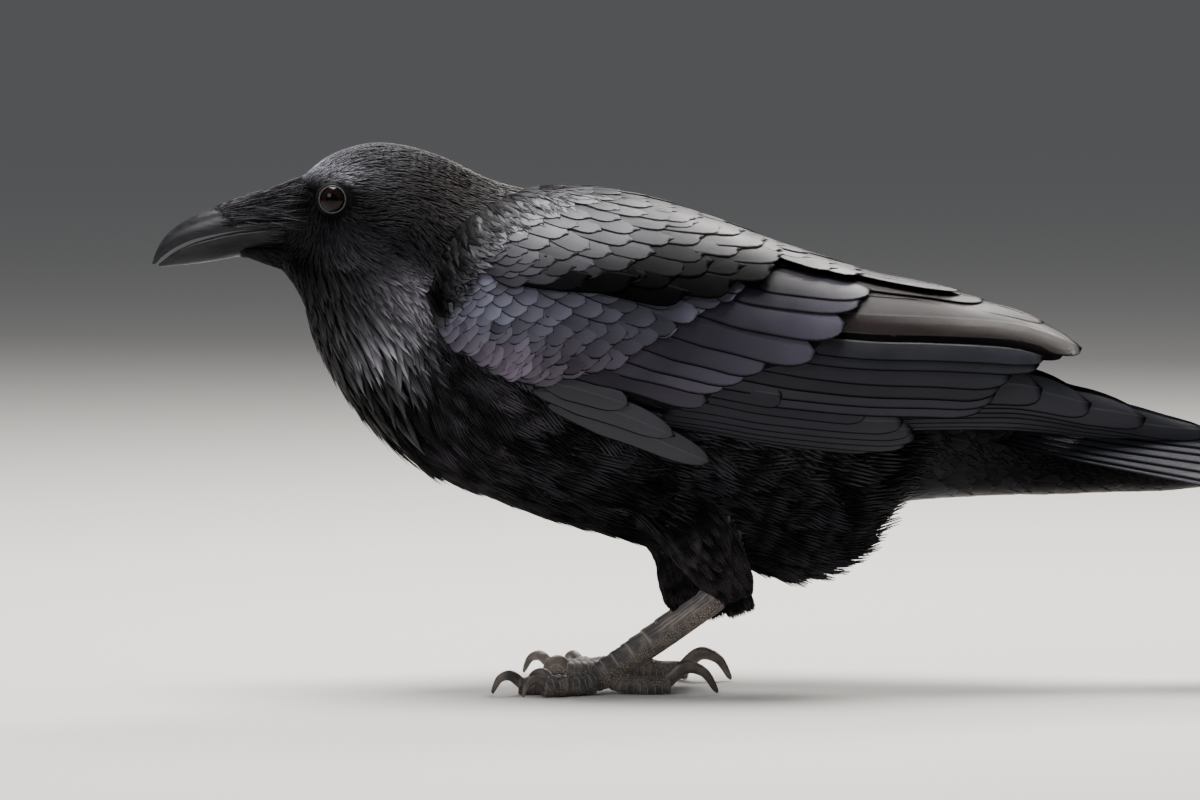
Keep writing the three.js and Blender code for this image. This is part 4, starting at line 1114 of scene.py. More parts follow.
def eyeDistance(points):
    # seen from the side; the bird's middle is far from either eye
    middle = np.abs(points[:, 1]) < 8
    return np.hypot(points[:, 0] - eyeBall["x"], points[:, 2] - eyeBall["z"]) + 40 * middle


def growBodyCoat():
    roots = coatRoots()
    chance = np.random.default_rng(7)
    at = np.clip(roots[:, 0] + chance.normal(0, 0.012, len(roots)), 0.03, 19.8)
    angle = roots[:, 1] + chance.normal(0, 0.008, len(roots))
    points, normals, back = bodyFrame(at, angle)
    points = points + normals * lumpsAt(points, normals)[:, None]
    kept = showing(points)
    at, angle, points, normals, back = (a[kept] for a in (at, angle, points, normals, back))
    lie = flowAt(points, normals, back)
    length, width = sizeAt(at, angle)
    turn = chance.normal(0, 1, len(at)) * np.interp(at, *coatShape["turn"])
    lie = unit(lie + np.cross(normals, lie) * turn[:, None])
    length = length * chance.uniform(0.85, 1.15, len(at))
    width = width * chance.uniform(0.88, 1.12, len(at))
    tips = points + lie * length[:, None]
    middles = (points + tips) / 2
    clear = (eyeDistance(points) > 6.6) & (eyeDistance(tips) > 6.3) & (eyeDistance(middles) > 6.3)
    upward = np.abs((angle % (2 * np.pi)) - np.pi) / np.pi  # 0 below, 1 on top
    below = upward < 0.38 + 0.035 * np.clip(at - 2, 0, 4)
    near = points[:, 1] < 0
    loose = at + chance.normal(0, 0.35, len(at))  # the kinds of feather run into each other
    hackled = (at > 1.6) & (loose < 5.9) & below
    breast = (at < 14) & (upward <= 0.55) & ~hackled & ((at >= 6.7) | (below & (at > 1.6)))
    areas = {
        "coat_head": (at < 4.2) & ~((at > 1.6) & below),
        "coat_neck": (at >= 4.2) & (at < 6.7) & ~below,
        "coat_throat": hackled,
        "coat_mantle": (at >= 6.7) & (at < 13) & (upward > 0.55),
        "coat_breast_left": breast & near,
        "coat_breast_right": breast & ~near,
        "coat_rump": (at >= 13) & (upward > 0.55),
        "coat_undertail": (at >= 14) & (upward <= 0.55),
    }
    for name, mask in areas.items():
        vane, finish, rise, lift = coatKinds[name]
        mask = mask & clear
        count, low, high = mask.sum(), at[mask].min(), at[mask].max()
        round_ = (angle[mask] % (2 * np.pi)) / (2 * np.pi)
        uv = np.stack([(at[mask] - low) / (high - low), round_, np.zeros(count)], -1)
        size = np.stack([length[mask], width[mask], np.full(count, rise)], -1)
        cling = chance.uniform(*coatShape["cling"], count) if vane in ("hackle", "tuft") else 1.0
        piece = growCoat(name, points[mask], normals[mask], lie[mask], size, vane, skin,
                         materials[finish], lift=lift, cling=cling, uv=uv * 0.98 + 0.01)
        finishPiece(piece)
        print("   ", count, "feathers")


growBodyCoat()

bristleShape = {
    # places along the bill from its base, their range of angles and their spacing; reach of the tips
    # at the ridge and at the side, and its spread, or plain lengths; width, rise and tone
    "nasal": {"half": "upper", "rows": (0.2, 2.35, 19), "angles": (0.15, 2.99), "gap": 0.85,
              "reach": (-186, -171), "vary": (0.75, 1.1), "width": 0.62, "rise": 0.75,
              "tone": (0.027, 0.025, 0.028)},
    "gape": {"half": "lower", "rows": (0.3, 0.6, 4), "angles": (0.0, 0.9), "gap": 1.1,
             "reach": (-160, -162), "vary": (0.45, 1.15), "width": 0.4, "rise": 0.35,
             "tone": (0.022, 0.020, 0.022)},
    "chin": {"half": "lower", "rows": (0.15, 2.15, 24), "angles": (0.62, 2.52), "gap": 0.75,
             "length": (5, 9), "width": 0.46, "rise": 0.6, "tone": (0.014, 0.0135, 0.0145)},
}
billCentre = {"upper": 206, "lower": 193}  # height of each half's middle


def bristleGuide():
    parts = []
    for half, grow in (("upper", -0.9), ("lower", 0.25)):
        sides, steps = 40, 60
        at = np.repeat(np.linspace(0, 5, steps), sides)
        angle = np.tile(np.linspace(0.0, np.pi, sides), steps)
        lift = np.interp(at, range(8), billShape["lift"]) if half == "upper" else 0 * at
        parts.append(loftMesh("guide", billPoint(half, at, angle, lift + grow).reshape(steps, sides, 3)))
    return objectFrom("bristleGuide", joined("bristleGuide", parts))


def billFrame(half, at, angle, cover=None):
    # cover names the feathered base that the hair stands on
    lift = np.interp(at, range(8), billShape[cover]) if cover else 0 * at
    here = billPoint(half, at, angle, lift)
    before = billPoint(half, np.maximum(at - nudge, 0), angle, lift)
    tipward = billPoint(half, at + nudge, angle, lift) - before
    tipward = unit(tipward)
    around = unit(billPoint(half, at, angle + nudge, lift) - billPoint(half, at, angle - nudge, lift))
    normal = unit(np.cross(around, tipward))
    out = here - here * np.array([1, 0, 0]) - np.array([0, 0, billCentre[half]])
    return here, normal * np.sign(np.einsum("ij,ij->i", normal, out))[:, None], tipward


def spacedRoots(line, places, gap, first):
    # marks spaced evenly along one line of a surface; places are its own measure
    reach = np.concatenate([[0], np.cumsum(np.linalg.norm(np.diff(line, axis=0), axis=1))])
    count = max(4, round(reach[-1] / gap))
    return np.interp((np.arange(count) + first) * reach[-1] / count, reach, places)


def bristleRoots(half, rows, gap, angles):
    found = []
    for k, at in enumerate(np.linspace(*rows)):
        around = np.linspace(*angles, 80)
        line = billPoint(half, np.full(80, at), around, 1.0)
        found += [(at, a) for a in spacedRoots(line, around, gap, 0.5 if k % 2 else 0.15)]
    return np.array(found)


def bristlePiece(name, at, angle, points, normals, lie, length, guide, **settings):
    shape, count = bristleShape[name], len(points)
    chance = np.random.default_rng(count)
    size = np.column_stack([length, np.full(count, shape["width"]), np.full(count, shape["rise"])])
    tones = np.tile(shape["tone"], (count, 1)) * chance.uniform(0.2, 1.9, (count, 1))
    uv = np.column_stack([at / 2.6, angle / np.pi, 0 * at]) * 0.96 + 0.02
    piece = growCoat(f"bristles_{name}", points, normals, lie, size, "bristle", guide,
                     materials["faceCoat"], tone=tones, uv=uv, **settings)
    finishPiece(piece)


def growBristles():
    chance = np.random.default_rng(11)
    guide = bristleGuide()
    for name in ("nasal", "gape"):
        shape = bristleShape[name]
        roots = bristleRoots(shape["half"], shape["rows"], shape["gap"], shape["angles"])
        if name == "gape":
            roots = np.vstack([roots, np.column_stack([roots[:, 0], np.pi - roots[:, 1]])])
        at = np.clip(roots[:, 0] + chance.normal(0, 0.05, len(roots)), 0, 7)
        angle = roots[:, 1] + chance.normal(0, 0.02, len(roots))
        points, normals, way = billFrame(shape["half"], at, angle, "lift" if name == "nasal" else None)
        reach = between(shape["reach"][::-1], np.sin(angle))
        length = np.clip(points[:, 0] - reach, 4.5, 17) * chance.uniform(*shape["vary"], len(at))
        turn = chance.normal(0, 0.09, len(at)) + 0.06 * np.sign(np.cos(angle))
        lie = unit(way + np.cross(normals, way) * turn[:, None])
        bristlePiece(name, at, angle, points, normals, lie, length, guide, lift=0.05)
    shape = bristleShape["chin"]
    roots = bristleRoots("lower", shape["rows"], shape["gap"], shape["angles"])
    points, normals, way = billFrame("lower", roots[:, 0], roots[:, 1], "chin")
    lie = unit(-way * 0.8 + np.array([0.1, 0, -0.5]) + chance.normal(0, 0.14, (len(roots), 3)))
    lie = squaredTo(normals, lie, 0.22)
    outward = squaredTo(lie, normals)
    length = chance.uniform(*shape["length"], len(roots)) * (1.25 - 0.3 * roots[:, 0])
    points = points - normals * 0.8
    bristlePiece("chin", roots[:, 0], roots[:, 1], points, outward, lie, length, skin, cling=0.0)
    bpy.data.objects.remove(guide)


growBristles()

legCoatShape = {
    "span": (0.12, 0.99), "rows": 22, "gap": 2.9, "length": (13, 8), "width": 4.4, "rise": 1.0,
    "tone": (0.014, 0.0125, 0.0135), "turn": 0.14, "hem": 0.86, "cling": (0.95, 0.35),  # looser past the hem
}


def growShinCoat():
    chance = np.random.default_rng(13)
    shape = legCoatShape
    for side, leg in legShape.items():
        path = onSide(leg["shin"], leg["sign"])
        found = []
        for k, t in enumerate(np.linspace(*shape["span"], shape["rows"])):
            radius = smoothRows(leg["shinRadii"], t * 4)[0].mean()
            count = max(5, round(2 * math.pi * radius / shape["gap"]))
            found += [(t, (j + 0.5 * (k % 2)) * 2 * math.pi / count) for j in range(count)]
        found = np.array(found)
        points, normals, ahead = limbFrame(path, leg["shinRadii"], found[:, 0], found[:, 1])
        kept = showing(points)
        points, normals, ahead, found = points[kept], normals[kept], ahead[kept], found[kept]
        t, count = found[:, 0], len(found)
        turn = chance.normal(0, shape["turn"], count)
        lie = unit(ahead + np.cross(normals, ahead) * turn[:, None])
        length = between(shape["length"], t) * chance.uniform(0.85, 1.2, count)
        size = np.column_stack([length, np.full(count, shape["width"]), np.full(count, shape["rise"])])
        uv = np.column_stack([t, found[:, 1] / (2 * math.pi), 0 * t]) * 0.96 + 0.02
        cling = np.where(t > shape["hem"], shape["cling"][1], shape["cling"][0])
        piece = growCoat(f"coat_shin_{side}", points, normals, lie, size, "tuft", skin, materials["bodyCoat"],
                         tone=np.tile(shape["tone"], (count, 1)), lift=0.2, uv=uv, cling=cling)
        finishPiece(piece)


growShinCoat()

# loose downy tufts behind the thighs, and shorter ones over the flanks
ventShape = {
    "vent": {"stations": (10.9, 14.5, 15), "angles": (1.95, 4.33), "gap": 4.6, "length": (12, 21), "width": 9,
             "rise": 2.0, "loose": 0.16, "cling": (0.5, 0.15), "sunk": 1.2, "reach": 12},
    "flank": {"stations": (8.6, 13.9, 13), "angles": (1.45, 4.83), "gap": 8.5, "length": (16, 26),
              "width": 12.5, "rise": 1.6, "loose": 0.14, "cling": (0.9, 0.55), "sunk": 0.2, "reach": 4.6},
}
# where they start to droop, how, how far their tips stand off, and the span of their bake map
ventLie = {"late": (12.2, 13.6), "droop": (0.2, 0, -0.15), "stand": (0.05, 0.16, 0.05), "looseFrom": 12,
           "first": 8.6, "span": 5.9}


def growVent(name):
    chance = np.random.default_rng(17)
    shape, found = ventShape[name], []
    for k, at in enumerate(np.linspace(*shape["stations"])):
        around = np.linspace(*shape["angles"], 60)
        line = bodyPoint(np.full(60, at), around)
        found += [(at, a) for a in spacedRoots(line, around, shape["gap"], 0.5 if k % 2 else 0.0)]
    found = np.array(found)
    points, normals, back = bodyFrame(found[:, 0], found[:, 1])
    kept = showing(points, shape["reach"])
    found, points, normals, back = (a[kept] for a in (found, points, normals, back))
    at, count = found[:, 0], len(found)
    late = ramp(at, *ventLie["late"])
    lie = back + chance.normal(0, shape["loose"], points.shape) + late[:, None] * np.array(ventLie["droop"])
    base, later, vary = ventLie["stand"]
    lie = squaredTo(normals, unit(lie), base + later * late + chance.normal(0, vary, count))
    outward = squaredTo(lie, normals)
    length = chance.uniform(*shape["length"], count)
    size = np.column_stack([length, np.full(count, shape["width"]), np.full(count, shape["rise"])])
    share = (at - ventLie["first"]) / ventLie["span"]
    uv = np.column_stack([share, found[:, 1] / (2 * math.pi), 0 * at]) * 0.96 + 0.02
    cling = np.where(at > ventLie["looseFrom"], shape["cling"][1], shape["cling"][0])
    piece = growCoat(f"coat_{name}", points - normals * shape["sunk"], outward, lie, size, "tuft", skin,
                     materials["bodyCoat"], uv=uv, cling=cling)
    finishPiece(piece)


for ventName in ventShape:
    growVent(ventName)


# height of the first feather over the wing's surface and the drop to each next one, how domed, how
# far the lower rim stands out, how the tip bends; each row is root x, z, tip x, z and width
wingPlumes = {
    "primaries": {"vane": "blade", "height": -8.5, "drop": -0.45, "rise": 2.0, "roll": 0.05, "sway": -3.0,
                  "tone": (0.016, 0.017, 0.023), "rows": [
        (64.5, 135.9, 175, 127.7, 18), (68.8, 130.7, 196.1, 121.3, 18), (71, 126.4, 220.2, 114.8, 18),
        (73.1, 122.1, 247.2, 110.1, 17), (74, 118.2, 279.5, 106.2, 16), (74, 115.2, 313.9, 102.8, 15),
        (74, 112.7, 335.8, 100.2, 14)]},
    "outer": {"vane": "blade", "height": -5.0, "drop": -0.35, "rise": 1.6, "roll": 0.06, "sway": -3.0,
              "tone": (0.014, 0.014, 0.020), "rows": [
        (12, 137.6, 61.1, 125.6, 12), (21.5, 135.9, 76.5, 125.1, 12), (17.2, 131.2, 98, 117.8, 13),
        (12.9, 126.4, 114, 113.1, 14), (10.8, 123, 118.2, 109.2, 14), (8.6, 120.4, 119.5, 105.8, 14),
        (6.5, 118.7, 115.7, 101.9, 13), (4.3, 117.4, 103.2, 100.2, 12)]},
    "inner": {"vane": "blade", "height": -3.2, "drop": -0.3, "rise": 1.6, "roll": 0.06, "sway": -2.0,
              "tone": (0.017, 0.018, 0.024), "rows": [
        (25.8, 161.7, 174.6, 143.6, 17), (21.5, 157.4, 172, 140.2, 17), (17.2, 151.8, 160, 135.9, 17),
        (12.9, 146.2, 155.7, 132, 17), (8.6, 141, 153.5, 127.7, 17), (4.3, 135.9, 148.8, 123, 17)]},
    # the last tertial is near-black: painted shade under the tertial above
    "tertials": {"vane": "blade", "height": -0.6, "drop": -0.75, "rise": 1.6, "roll": -0.04, "sway": -2.0,
                 "tone": (0.0140, 0.0093, 0.0084), "rows": [
        (55.9, 188.3, 148.3, 168.8, 20), (68.8, 183.2, 174.6, 159.1, 20), (51.6, 171, 190.9, 147.6, 27),
        (43, 163.6, 183, 145.2, 17)], "paintedLight": (1, 1, 1, 0.1)},
    # the alula feathers get lighter towards the top, painted light, and their grey-blue tone is painted sheen
    "alula": {"vane": "slip", "height": -1.6, "drop": -0.5, "rise": 1.4, "roll": 0.10, "sway": -2.5,
              "tone": (0.027, 0.0275, 0.034), "paintedLight": (1.3, 1.0, 0.8), "rows": [
        (-45.1, 135.9, -5.6, 123, 12), (-46, 130.3, 14.2, 109.2, 13), (-39.6, 123.8, 29.7, 97.2, 16)]},
    # purple tone: painted sheen; the first greater coverts, which face up, are darkened: painted shade
    "greater": {"vane": "oval", "height": -1.2, "drop": -0.10, "rise": 1.0, "roll": 0.05, "sway": -2.5,
                "tone": (0.041, 0.037, 0.053), "rows": [
        (22, 196, 96, 183.5, 20), (25.8, 185.8, 100.2, 172.4, 22), (17.2, 180.6, 95.5, 167.7, 21),
        (10.8, 173.7, 88.6, 157.8, 24), (0, 164.3, 75.7, 145.3, 20), (-7.7, 157.4, 54.2, 140.6, 18),
        (-15.9, 152.2, 45.6, 136.3, 17), (-24.5, 147.9, 37, 131.6, 16), (-40.9, 144.5, 28.8, 123.8, 16)],
                "paintedLight": (0.35, 0.45, 0.7, 1, 1, 1, 1, 1, 1)},
    # purple tone: painted sheen
    "median": {"vane": "scale", "height": -0.5, "drop": 0, "rise": 0.9, "roll": 0.05, "sway": 0,
               "tone": (0.062, 0.056, 0.076), "rows": [
        (12, 177.2, 41.7, 172.4, 13), (0, 172.9, 29.2, 167.3, 13), (-12, 163.8, 16.3, 157.8, 13),
        (-22.4, 160, 5.6, 153.5, 13), (-31.4, 154.4, -3.9, 147.9, 13), (-42.6, 149.2, -15.5, 142.8, 12),
        (-58, 144.5, -31.8, 138.5, 12)]},
}

# small feathers fill lattices: the lesser coverts from the wing's leading edge back, and the
# scapulars from the shoulder over the wing's root; lines run down the wing, pairs from front to rear
latticePlumes = {
    "lesser": {
        "lead": [(-61.5, 181.9), (-71, 173.3), (-79.1, 164.3), (-80.8, 159.1), (-75.2, 151.8),
                 (-64.5, 144.5), (-51.6, 138.5)],
        "rear": [(45.1, 175.4), (29.2, 167.7), (16.3, 158.2), (5.6, 153.9), (-3.9, 148.3),
                 (-15.5, 143.2), (-31.8, 138.5)],
        "rows": 10, "across": (12, 9), "length": (9.5, 29), "width": (7.2, 13), "slope": (-0.75, -0.2),
        # the pale blue-purple tones are painted sheen, and rearShade is painted shade on the rear rows
        "pace": 1.45, "rise": (0.55, 0.9), "height": (0.5, -0.2), "tone": (0.078, 0.079, 0.108),
        "lowTone": (0.082, 0.067, 0.094), "turn": 0.06, "stray": 0.5, "rearShade": 0.4,
    },
    "scapulars": {
        "lead": [(-27, 212.5), (-38, 209), (-47, 204), (-54, 198), (-59, 191.6), (-60, 186), (-57, 181)],
        "rear": [(44, 197.5), (54, 192), (61, 185.3), (57, 180.5), (41, 177.5), (21.5, 175.4), (0, 175.5)],
        "rows": 8, "across": (8, 6), "length": (13, 52), "width": (8, 22), "slope": (-0.42, -0.12),
        # tone is a painted highlight on the upper rows; lowTone and rearShade are painted shade lower down
        # and towards the rear
        "pace": 1.3, "rise": (0.6, 1.0), "height": (1.5, 1.9), "tone": (0.074, 0.072, 0.081),
        "lowTone": (0.024, 0.024, 0.030), "turn": 0.08, "stray": 1.6, "rearShade": 0.96,
    },
    # the neck's last feathers, over the front of the scapulars; they darken towards the neck
    "cape": {
        "lead": [(-31.8, 215), (-42, 212.9), (-52, 207.7), (-60, 200.4), (-67, 190.5), (-72.5, 178.9),
                 (-77, 166.8)],
        "rear": [(-6, 209), (-21, 206), (-35, 201), (-47, 195), (-57, 187), (-65, 177), (-73, 166)],
        "rows": 9, "across": (30, 22), "length": (14, 17), "width": (2.6, 5.6), "slope": (-0.9, -0.6),
        # tone: painted sheen on the upper rows; the lower rows take the darker lowTone
        "pace": 1.0, "rise": (0.8, 0.8), "height": (2.2, 1.5), "tone": (0.048, 0.047, 0.052),
        "lowTone": (0.016, 0.0155, 0.018), "leadTone": (0.0035, 0.0032, 0.0036), "vane": "hackle",
        "finish": "bodyCoat", "turn": 0.26, "stray": 0.4, "rearShade": 0,
    },
}
latticeEdge = 0.04  # how far a row may start or end beyond its lines

# feathers over the middle of the back, like those above; long ones are root x, y, tip x, y and width
backShape = {
    "tips": (-42, 96), "rows": 12, "aside": 7.2, "each": 5, "length": (13, 46), "width": (9, 18),
    "rise": 0.9, "height": (1.7, 0.9), "tone": (0.022, 0.022, 0.025),
    "long": [(48, 0, 124, 0, 24), (58, -9, 138, -4, 21), (58, 9, 138, 4, 21)],
    "longTone": (0.018, 0.0155, 0.0155),
}


def latticeRows(shape):
    rows = []
    for k in range(shape["rows"] + 1):
        u = (k / shape["rows"]) ** shape["pace"]
        count = round(between(shape["across"], u))
        for j in range(-1, count + 1):
            v = (j + (0.5 if k % 2 else 0.0)) / count
            if not -latticeEdge <= v <= 1 + latticeEdge:
                continue
            lead = smoothRows(shape["lead"], v * 6)[0]
            rear = smoothRows(shape["rear"], v * 6)[0]
            tip = lead + (rear - lead) * (0.04 + 0.96 * u)
            slope = between(shape["slope"], u ** 0.6)
            slope = slope * (0.45 + 0.55 * math.sin(math.pi * min(1.0, 0.25 + 0.6 * v)))
            way = np.array([1, slope]) / math.hypot(1, slope)
            root = tip - way * between(shape["length"], u)
            rows.append((*root, *tip, between(shape["width"], u), u, v))
    return rows


def flatFrame(rows):
    # roots, directions and sizes in the wing's unrolled plane
    rows = np.array(rows, float)
    start, end = unrolled(rows[:, :2]), unrolled(rows[:, 2:4])
    length = np.linalg.norm(end - start, axis=1)
    way = (end - start) / length[:, None]
    return start, way, length, rows[:, 4]


def growWrapped(name, start, way, length, width, height, rise, roll, sway, tones, vane, sheet, material):
    count = len(start)
    roots = np.column_stack([start, height]) * mm
    source = objectFrom(name + "Roots", meshFrom(name + "Roots", roots, []))
    mesh = source.data
    flatWay = np.column_stack([way, np.zeros(count)])
    side = np.column_stack([-way[:, 1], way[:, 0], np.zeros(count)])
    setAttribute(mesh, "outward", "FLOAT_VECTOR", np.tile((0, 0, 1.0), (count, 1)))
    setAttribute(mesh, "lie", "FLOAT_VECTOR", flatWay)
    setAttribute(mesh, "side", "FLOAT_VECTOR", side)
    setAttribute(mesh, "root", "FLOAT_VECTOR", roots)
    setAttribute(mesh, "size", "FLOAT_VECTOR", np.column_stack([length, width, rise]) * mm)
    setAttribute(mesh, "tone", "FLOAT_VECTOR", tones)
    setAttribute(mesh, "chance", "FLOAT", np.random.default_rng(count).random(count))
    setAttribute(mesh, "roll", "FLOAT", np.broadcast_to(roll, count))
    bend = np.broadcast_to(sway, count) / (length ** 2 * mm)  # sway is how far the tip shifts
    setAttribute(mesh, "sway", "FLOAT", bend)
    low, high = start.min(0), start.max(0)
    uv = (start - low) / np.maximum(high - low, 1e-6) * 0.96 + 0.02
    setAttribute(mesh, "rootUv", "FLOAT_VECTOR", np.column_stack([uv, np.zeros(count)]))
    made = grown(source, trees["wrap"], {"Vane": vanes[vane], "Sheet": sheet, "Material": material}, name)
    return objectFrom(name, turnedOut(made))


def wingPlume(side, sheet, name, material):
    shape = wingPlumes[name]
    start, way, length, width = flatFrame(shape["rows"])
    count = len(length)
    height = shape["height"] + shape["drop"] * np.arange(count) - shape["rise"]
    chance = np.random.default_rng(count + len(name))
    tones = np.tile(np.array(shape["tone"]), (count, 1)) * chance.uniform(0.85, 1.15, (count, 1))
    # painted light: some rows are lightened or darkened, as painted sheen and shade
    tones = tones * np.array(shape.get("paintedLight", np.ones(count)))[:, None]
    rise = np.full(count, shape["rise"])
    return growWrapped(f"plumes_{side}_{name}", start, way, length, width, height, rise, shape["roll"],
                       shape["sway"], tones, shape["vane"], sheet, materials[material])


def latticePlume(side, sheet, name):
    shape = latticePlumes[name]
    rows = np.array(latticeRows(shape), float)
    start, way, length, width = flatFrame(rows)
    u, v = rows[:, 5], rows[:, 6]
    chance = np.random.default_rng(21)
    start = start + way * chance.normal(0, shape["stray"], len(rows))[:, None]
    width = width * chance.uniform(0.9, 1.15, len(rows))
    rise = between(shape["rise"], u)
    height = between(shape["height"], u) - rise
    # painted light: upper rows keep tone and lower rows take lowTone, and rearShade darkens rear rows, less
    # at the top, as painted shade
    low = ramp(v, 0.35, 0.9)[:, None]
    tones = np.array(shape["tone"]) * (1 - low) + np.array(shape["lowTone"]) * low
    rearShade = shape["rearShade"] * ramp(u, 0.15, 0.75) * (0.62 + 0.38 * ramp(v, 0.05, 0.45))
    tones = tones * (1 - rearShade)[:, None]
    if "leadTone" in shape:
        tones = np.array(shape["leadTone"]) * (1 - u[:, None]) + tones * u[:, None]
    tones = tones * chance.uniform(0.7, 1.3, (len(rows), 1))
    turn = chance.normal(0, shape["turn"], len(rows))
    way = unit(way + np.stack([-way[:, 1], way[:, 0]], -1) * turn[:, None])
    return growWrapped(f"plumes_{side}_{name}", start, way, length, width, height, rise, 0.05, 0.0, tones,
                       shape.get("vane", "scale"), sheet, materials[shape.get("finish", "covertCoat")])


def growBack():
    # laid on the left wing's sheet, which runs on past the middle
    shape, sheet = backShape, wingSheet(-1)
    chance = np.random.default_rng(5)
    rows = []
    for k in range(shape["rows"] + 1):
        u = k / shape["rows"]
        tip, count = between(shape["tips"], u), shape["each"] + k % 2
        for j in range(count):
            off = (j - (count - 1) / 2) * shape["aside"]
            root, width = tip - between(shape["length"], u), between(shape["width"], u)
            rows.append((root, off * 1.1, tip, off, width, u))
    long = [(*row, 1.0) for row in shape["long"]]
    for name, table, vane, tone, finish in (
            ("plumes_back", rows, "scale", shape["tone"], "covertCoat"),
            ("plumes_back_long", long, "oval", shape["longTone"], "flightCoat")):
        table = np.array(table, float)
        count = len(table)
        way = table[:, 2:4] - table[:, :2]
        length = np.linalg.norm(way, axis=1)
        height = between(shape["height"], table[:, 5]) - shape["rise"]
        height = height + 0.12 * np.arange(count) % 0.5  # neighbours overlap and never meet
        tones = np.tile(tone, (count, 1)) * chance.uniform(0.8, 1.2, (count, 1))
        rise = np.full(count, shape["rise"])
        piece = growWrapped(name, table[:, :2], way / length[:, None], length, table[:, 4], height, rise,
                            0.03, 0.0, tones, vane, sheet, materials[finish])
        finishPiece(piece)
    bpy.data.objects.remove(sheet)


# the CAD nodes that feathers stand for
wingParts = {"primaries": "primaries", "inner": "secondaries", "tertials": "tertials", "alula": "alula"}


def growWing(side, sign):
    sheet = wingSheet(sign)
    for name in wingPlumes:
        finish = "covertCoat" if name in ("greater", "median") else "flightCoat"
        replaced = [f"wing_{side}_{wingParts[name]}"] if name in wingParts else []
        finishPiece(wingPlume(side, sheet, name, finish), replaced)
    finishPiece(latticePlume(side, sheet, "lesser"), [f"wing_{side}_shoulder"])
    finishPiece(latticePlume(side, sheet, "scapulars"))
    finishPiece(latticePlume(side, sheet, "cape"))
    bpy.data.objects.remove(sheet)


for wingSide, wingSign in (("left", -1), ("right", 1)):
    growWing(wingSide, wingSign)
growBack()

tailShape = {
    "root": (119, 124), "end": (348, 99), "fall": 0.7, "ridge": 6, "rise": 0.8, "roll": 0.02,
    # tip aside, shorter by, root aside
    "feathers": [(26.5, 63, 7), (25, 47, 6), (20.5, 32, 5), (14.5, 19, 4), (8.5, 8, 2.5), (3.5, 0, 1)],
    "width": 24, "stack": -3.4, "step": 0.6, "tone": (0.017, 0.018, 0.024),
}


def tailSheet():
    xs, ys = np.linspace(100, 360, 80), np.linspace(-46, 46, 60)
    x, y = (g.ravel() for g in np.meshgrid(xs, ys, indexing="ij"))
    rootX, rootZ = tailShape["root"]
    endX, endZ = tailShape["end"]
    high = rootZ + (endZ - rootZ) * ((x - rootX) / (endX - rootX))
    z = high - tailShape["fall"] * (np.hypot(y, tailShape["ridge"]) - tailShape["ridge"])
    return sheetFrom("tailSheet", np.stack([x, y, z], -1), np.stack([x, y], -1), len(ys), (0, 0, 1))


def growTail():
    sheet = tailSheet()
    rows, heights, rolls = [], [], []
    for k, (aside, shorter, rootAside) in enumerate(tailShape["feathers"]):
        for sign in (-1, 1):
            tipX = tailShape["end"][0] - shorter
            rows.append((tailShape["root"][0] + 4, sign * rootAside, tipX, sign * aside))
            heights.append(tailShape["stack"] + tailShape["step"] * k + (0.25 if sign > 0 else 0))
            rolls.append(-tailShape["roll"] * sign)
    rows = np.array(rows, float)
    way = rows[:, 2:] - rows[:, :2]
    length = np.linalg.norm(way, axis=1)
    count = len(rows)
    tones = np.tile(np.array(tailShape["tone"]), (count, 1))
    width, rise = np.full(count, tailShape["width"]), np.full(count, tailShape["rise"])
    piece = growWrapped("tail_feathers", rows[:, :2], way / length[:, None], length, width, np.array(heights),
                        rise, np.array(rolls), 0.0, tones, "blade", sheet, materials["flightCoat"])
    bpy.data.objects.remove(sheet)
    finishPiece(piece, ["tail"])


growTail()
print("feathers grown")


def billMesh(half):
    steps, sides = 70, 33
    share = np.linspace(0, 1, steps)
    at = np.repeat(7 * (1 - (1 - share) ** 1.3), sides)
    angle = np.tile(np.linspace(0, np.pi, sides), steps)
    points = billPoint(half, at, angle).reshape(steps, sides, 3)
    # the mouth side is hollowed a little between its cutting edges
    way = -1 if half == "lower" else 1
    rings = []
    for ring in points:
        floor = []
        for s in (0.15, 0.5, 0.85):
            hollow = way * math.sin(math.pi * s) ** 0.5 * 0.09 * abs(ring[0][1])
            floor.append(ring[-1] + (ring[0] - ring[-1]) * s + np.array([0, 0, hollow]))
        rings.append(np.vstack([ring, floor]))
    return loftMesh(f"bill{half}", np.array(rings))


for half in ("upper", "lower"):
    finishPiece(objectFrom(f"bill_{half}_horn", billMesh(half)), [f"bill_{half}"], materials["horn"])


eyeShape = {
    "turnForward": 5, "turnUp": 2, "beads": 56, "bead": 0.36, "cornea": 0.25, "corneaSpread": 0.5,
    # closed profiles round the gaze: out from the opening's edge, and along the gaze from it
    "lid": [(-0.15, -0.6), (-0.12, 0.12), (0.1, 0.3), (0.42, 0.2), (0.55, -0.3), (0.3, -1.2)],
    "socket": [(0.2, -1.6), (0.45, -0.5), (0.8, -0.5), (1.3, -1.1), (2.0, -2.2), (2.1, -3.6), (0.2, -4.2)],
    "beadsAt": (0.8, -0.35),
}
eyeRest = math.sqrt(eyeBall["radius"] ** 2 - eyeBall["open"] ** 2)  # how far out the lids' edge is


def eyeAxes(sign):
    # the eye's centre and gaze, then two directions square to it
    centre = np.array([eyeBall["x"], sign * eyeSide, eyeBall["z"]])
    forward, up = math.radians(eyeShape["turnForward"]), math.radians(eyeShape["turnUp"])
    level = np.array([-math.sin(forward), sign * math.cos(forward), 0.0])
    gaze = level * math.cos(up) + np.array([0, 0, math.sin(up)])
    across = unit(np.cross(gaze, (0, 0, 1.0)))
    return centre, gaze, across, np.cross(across, gaze)


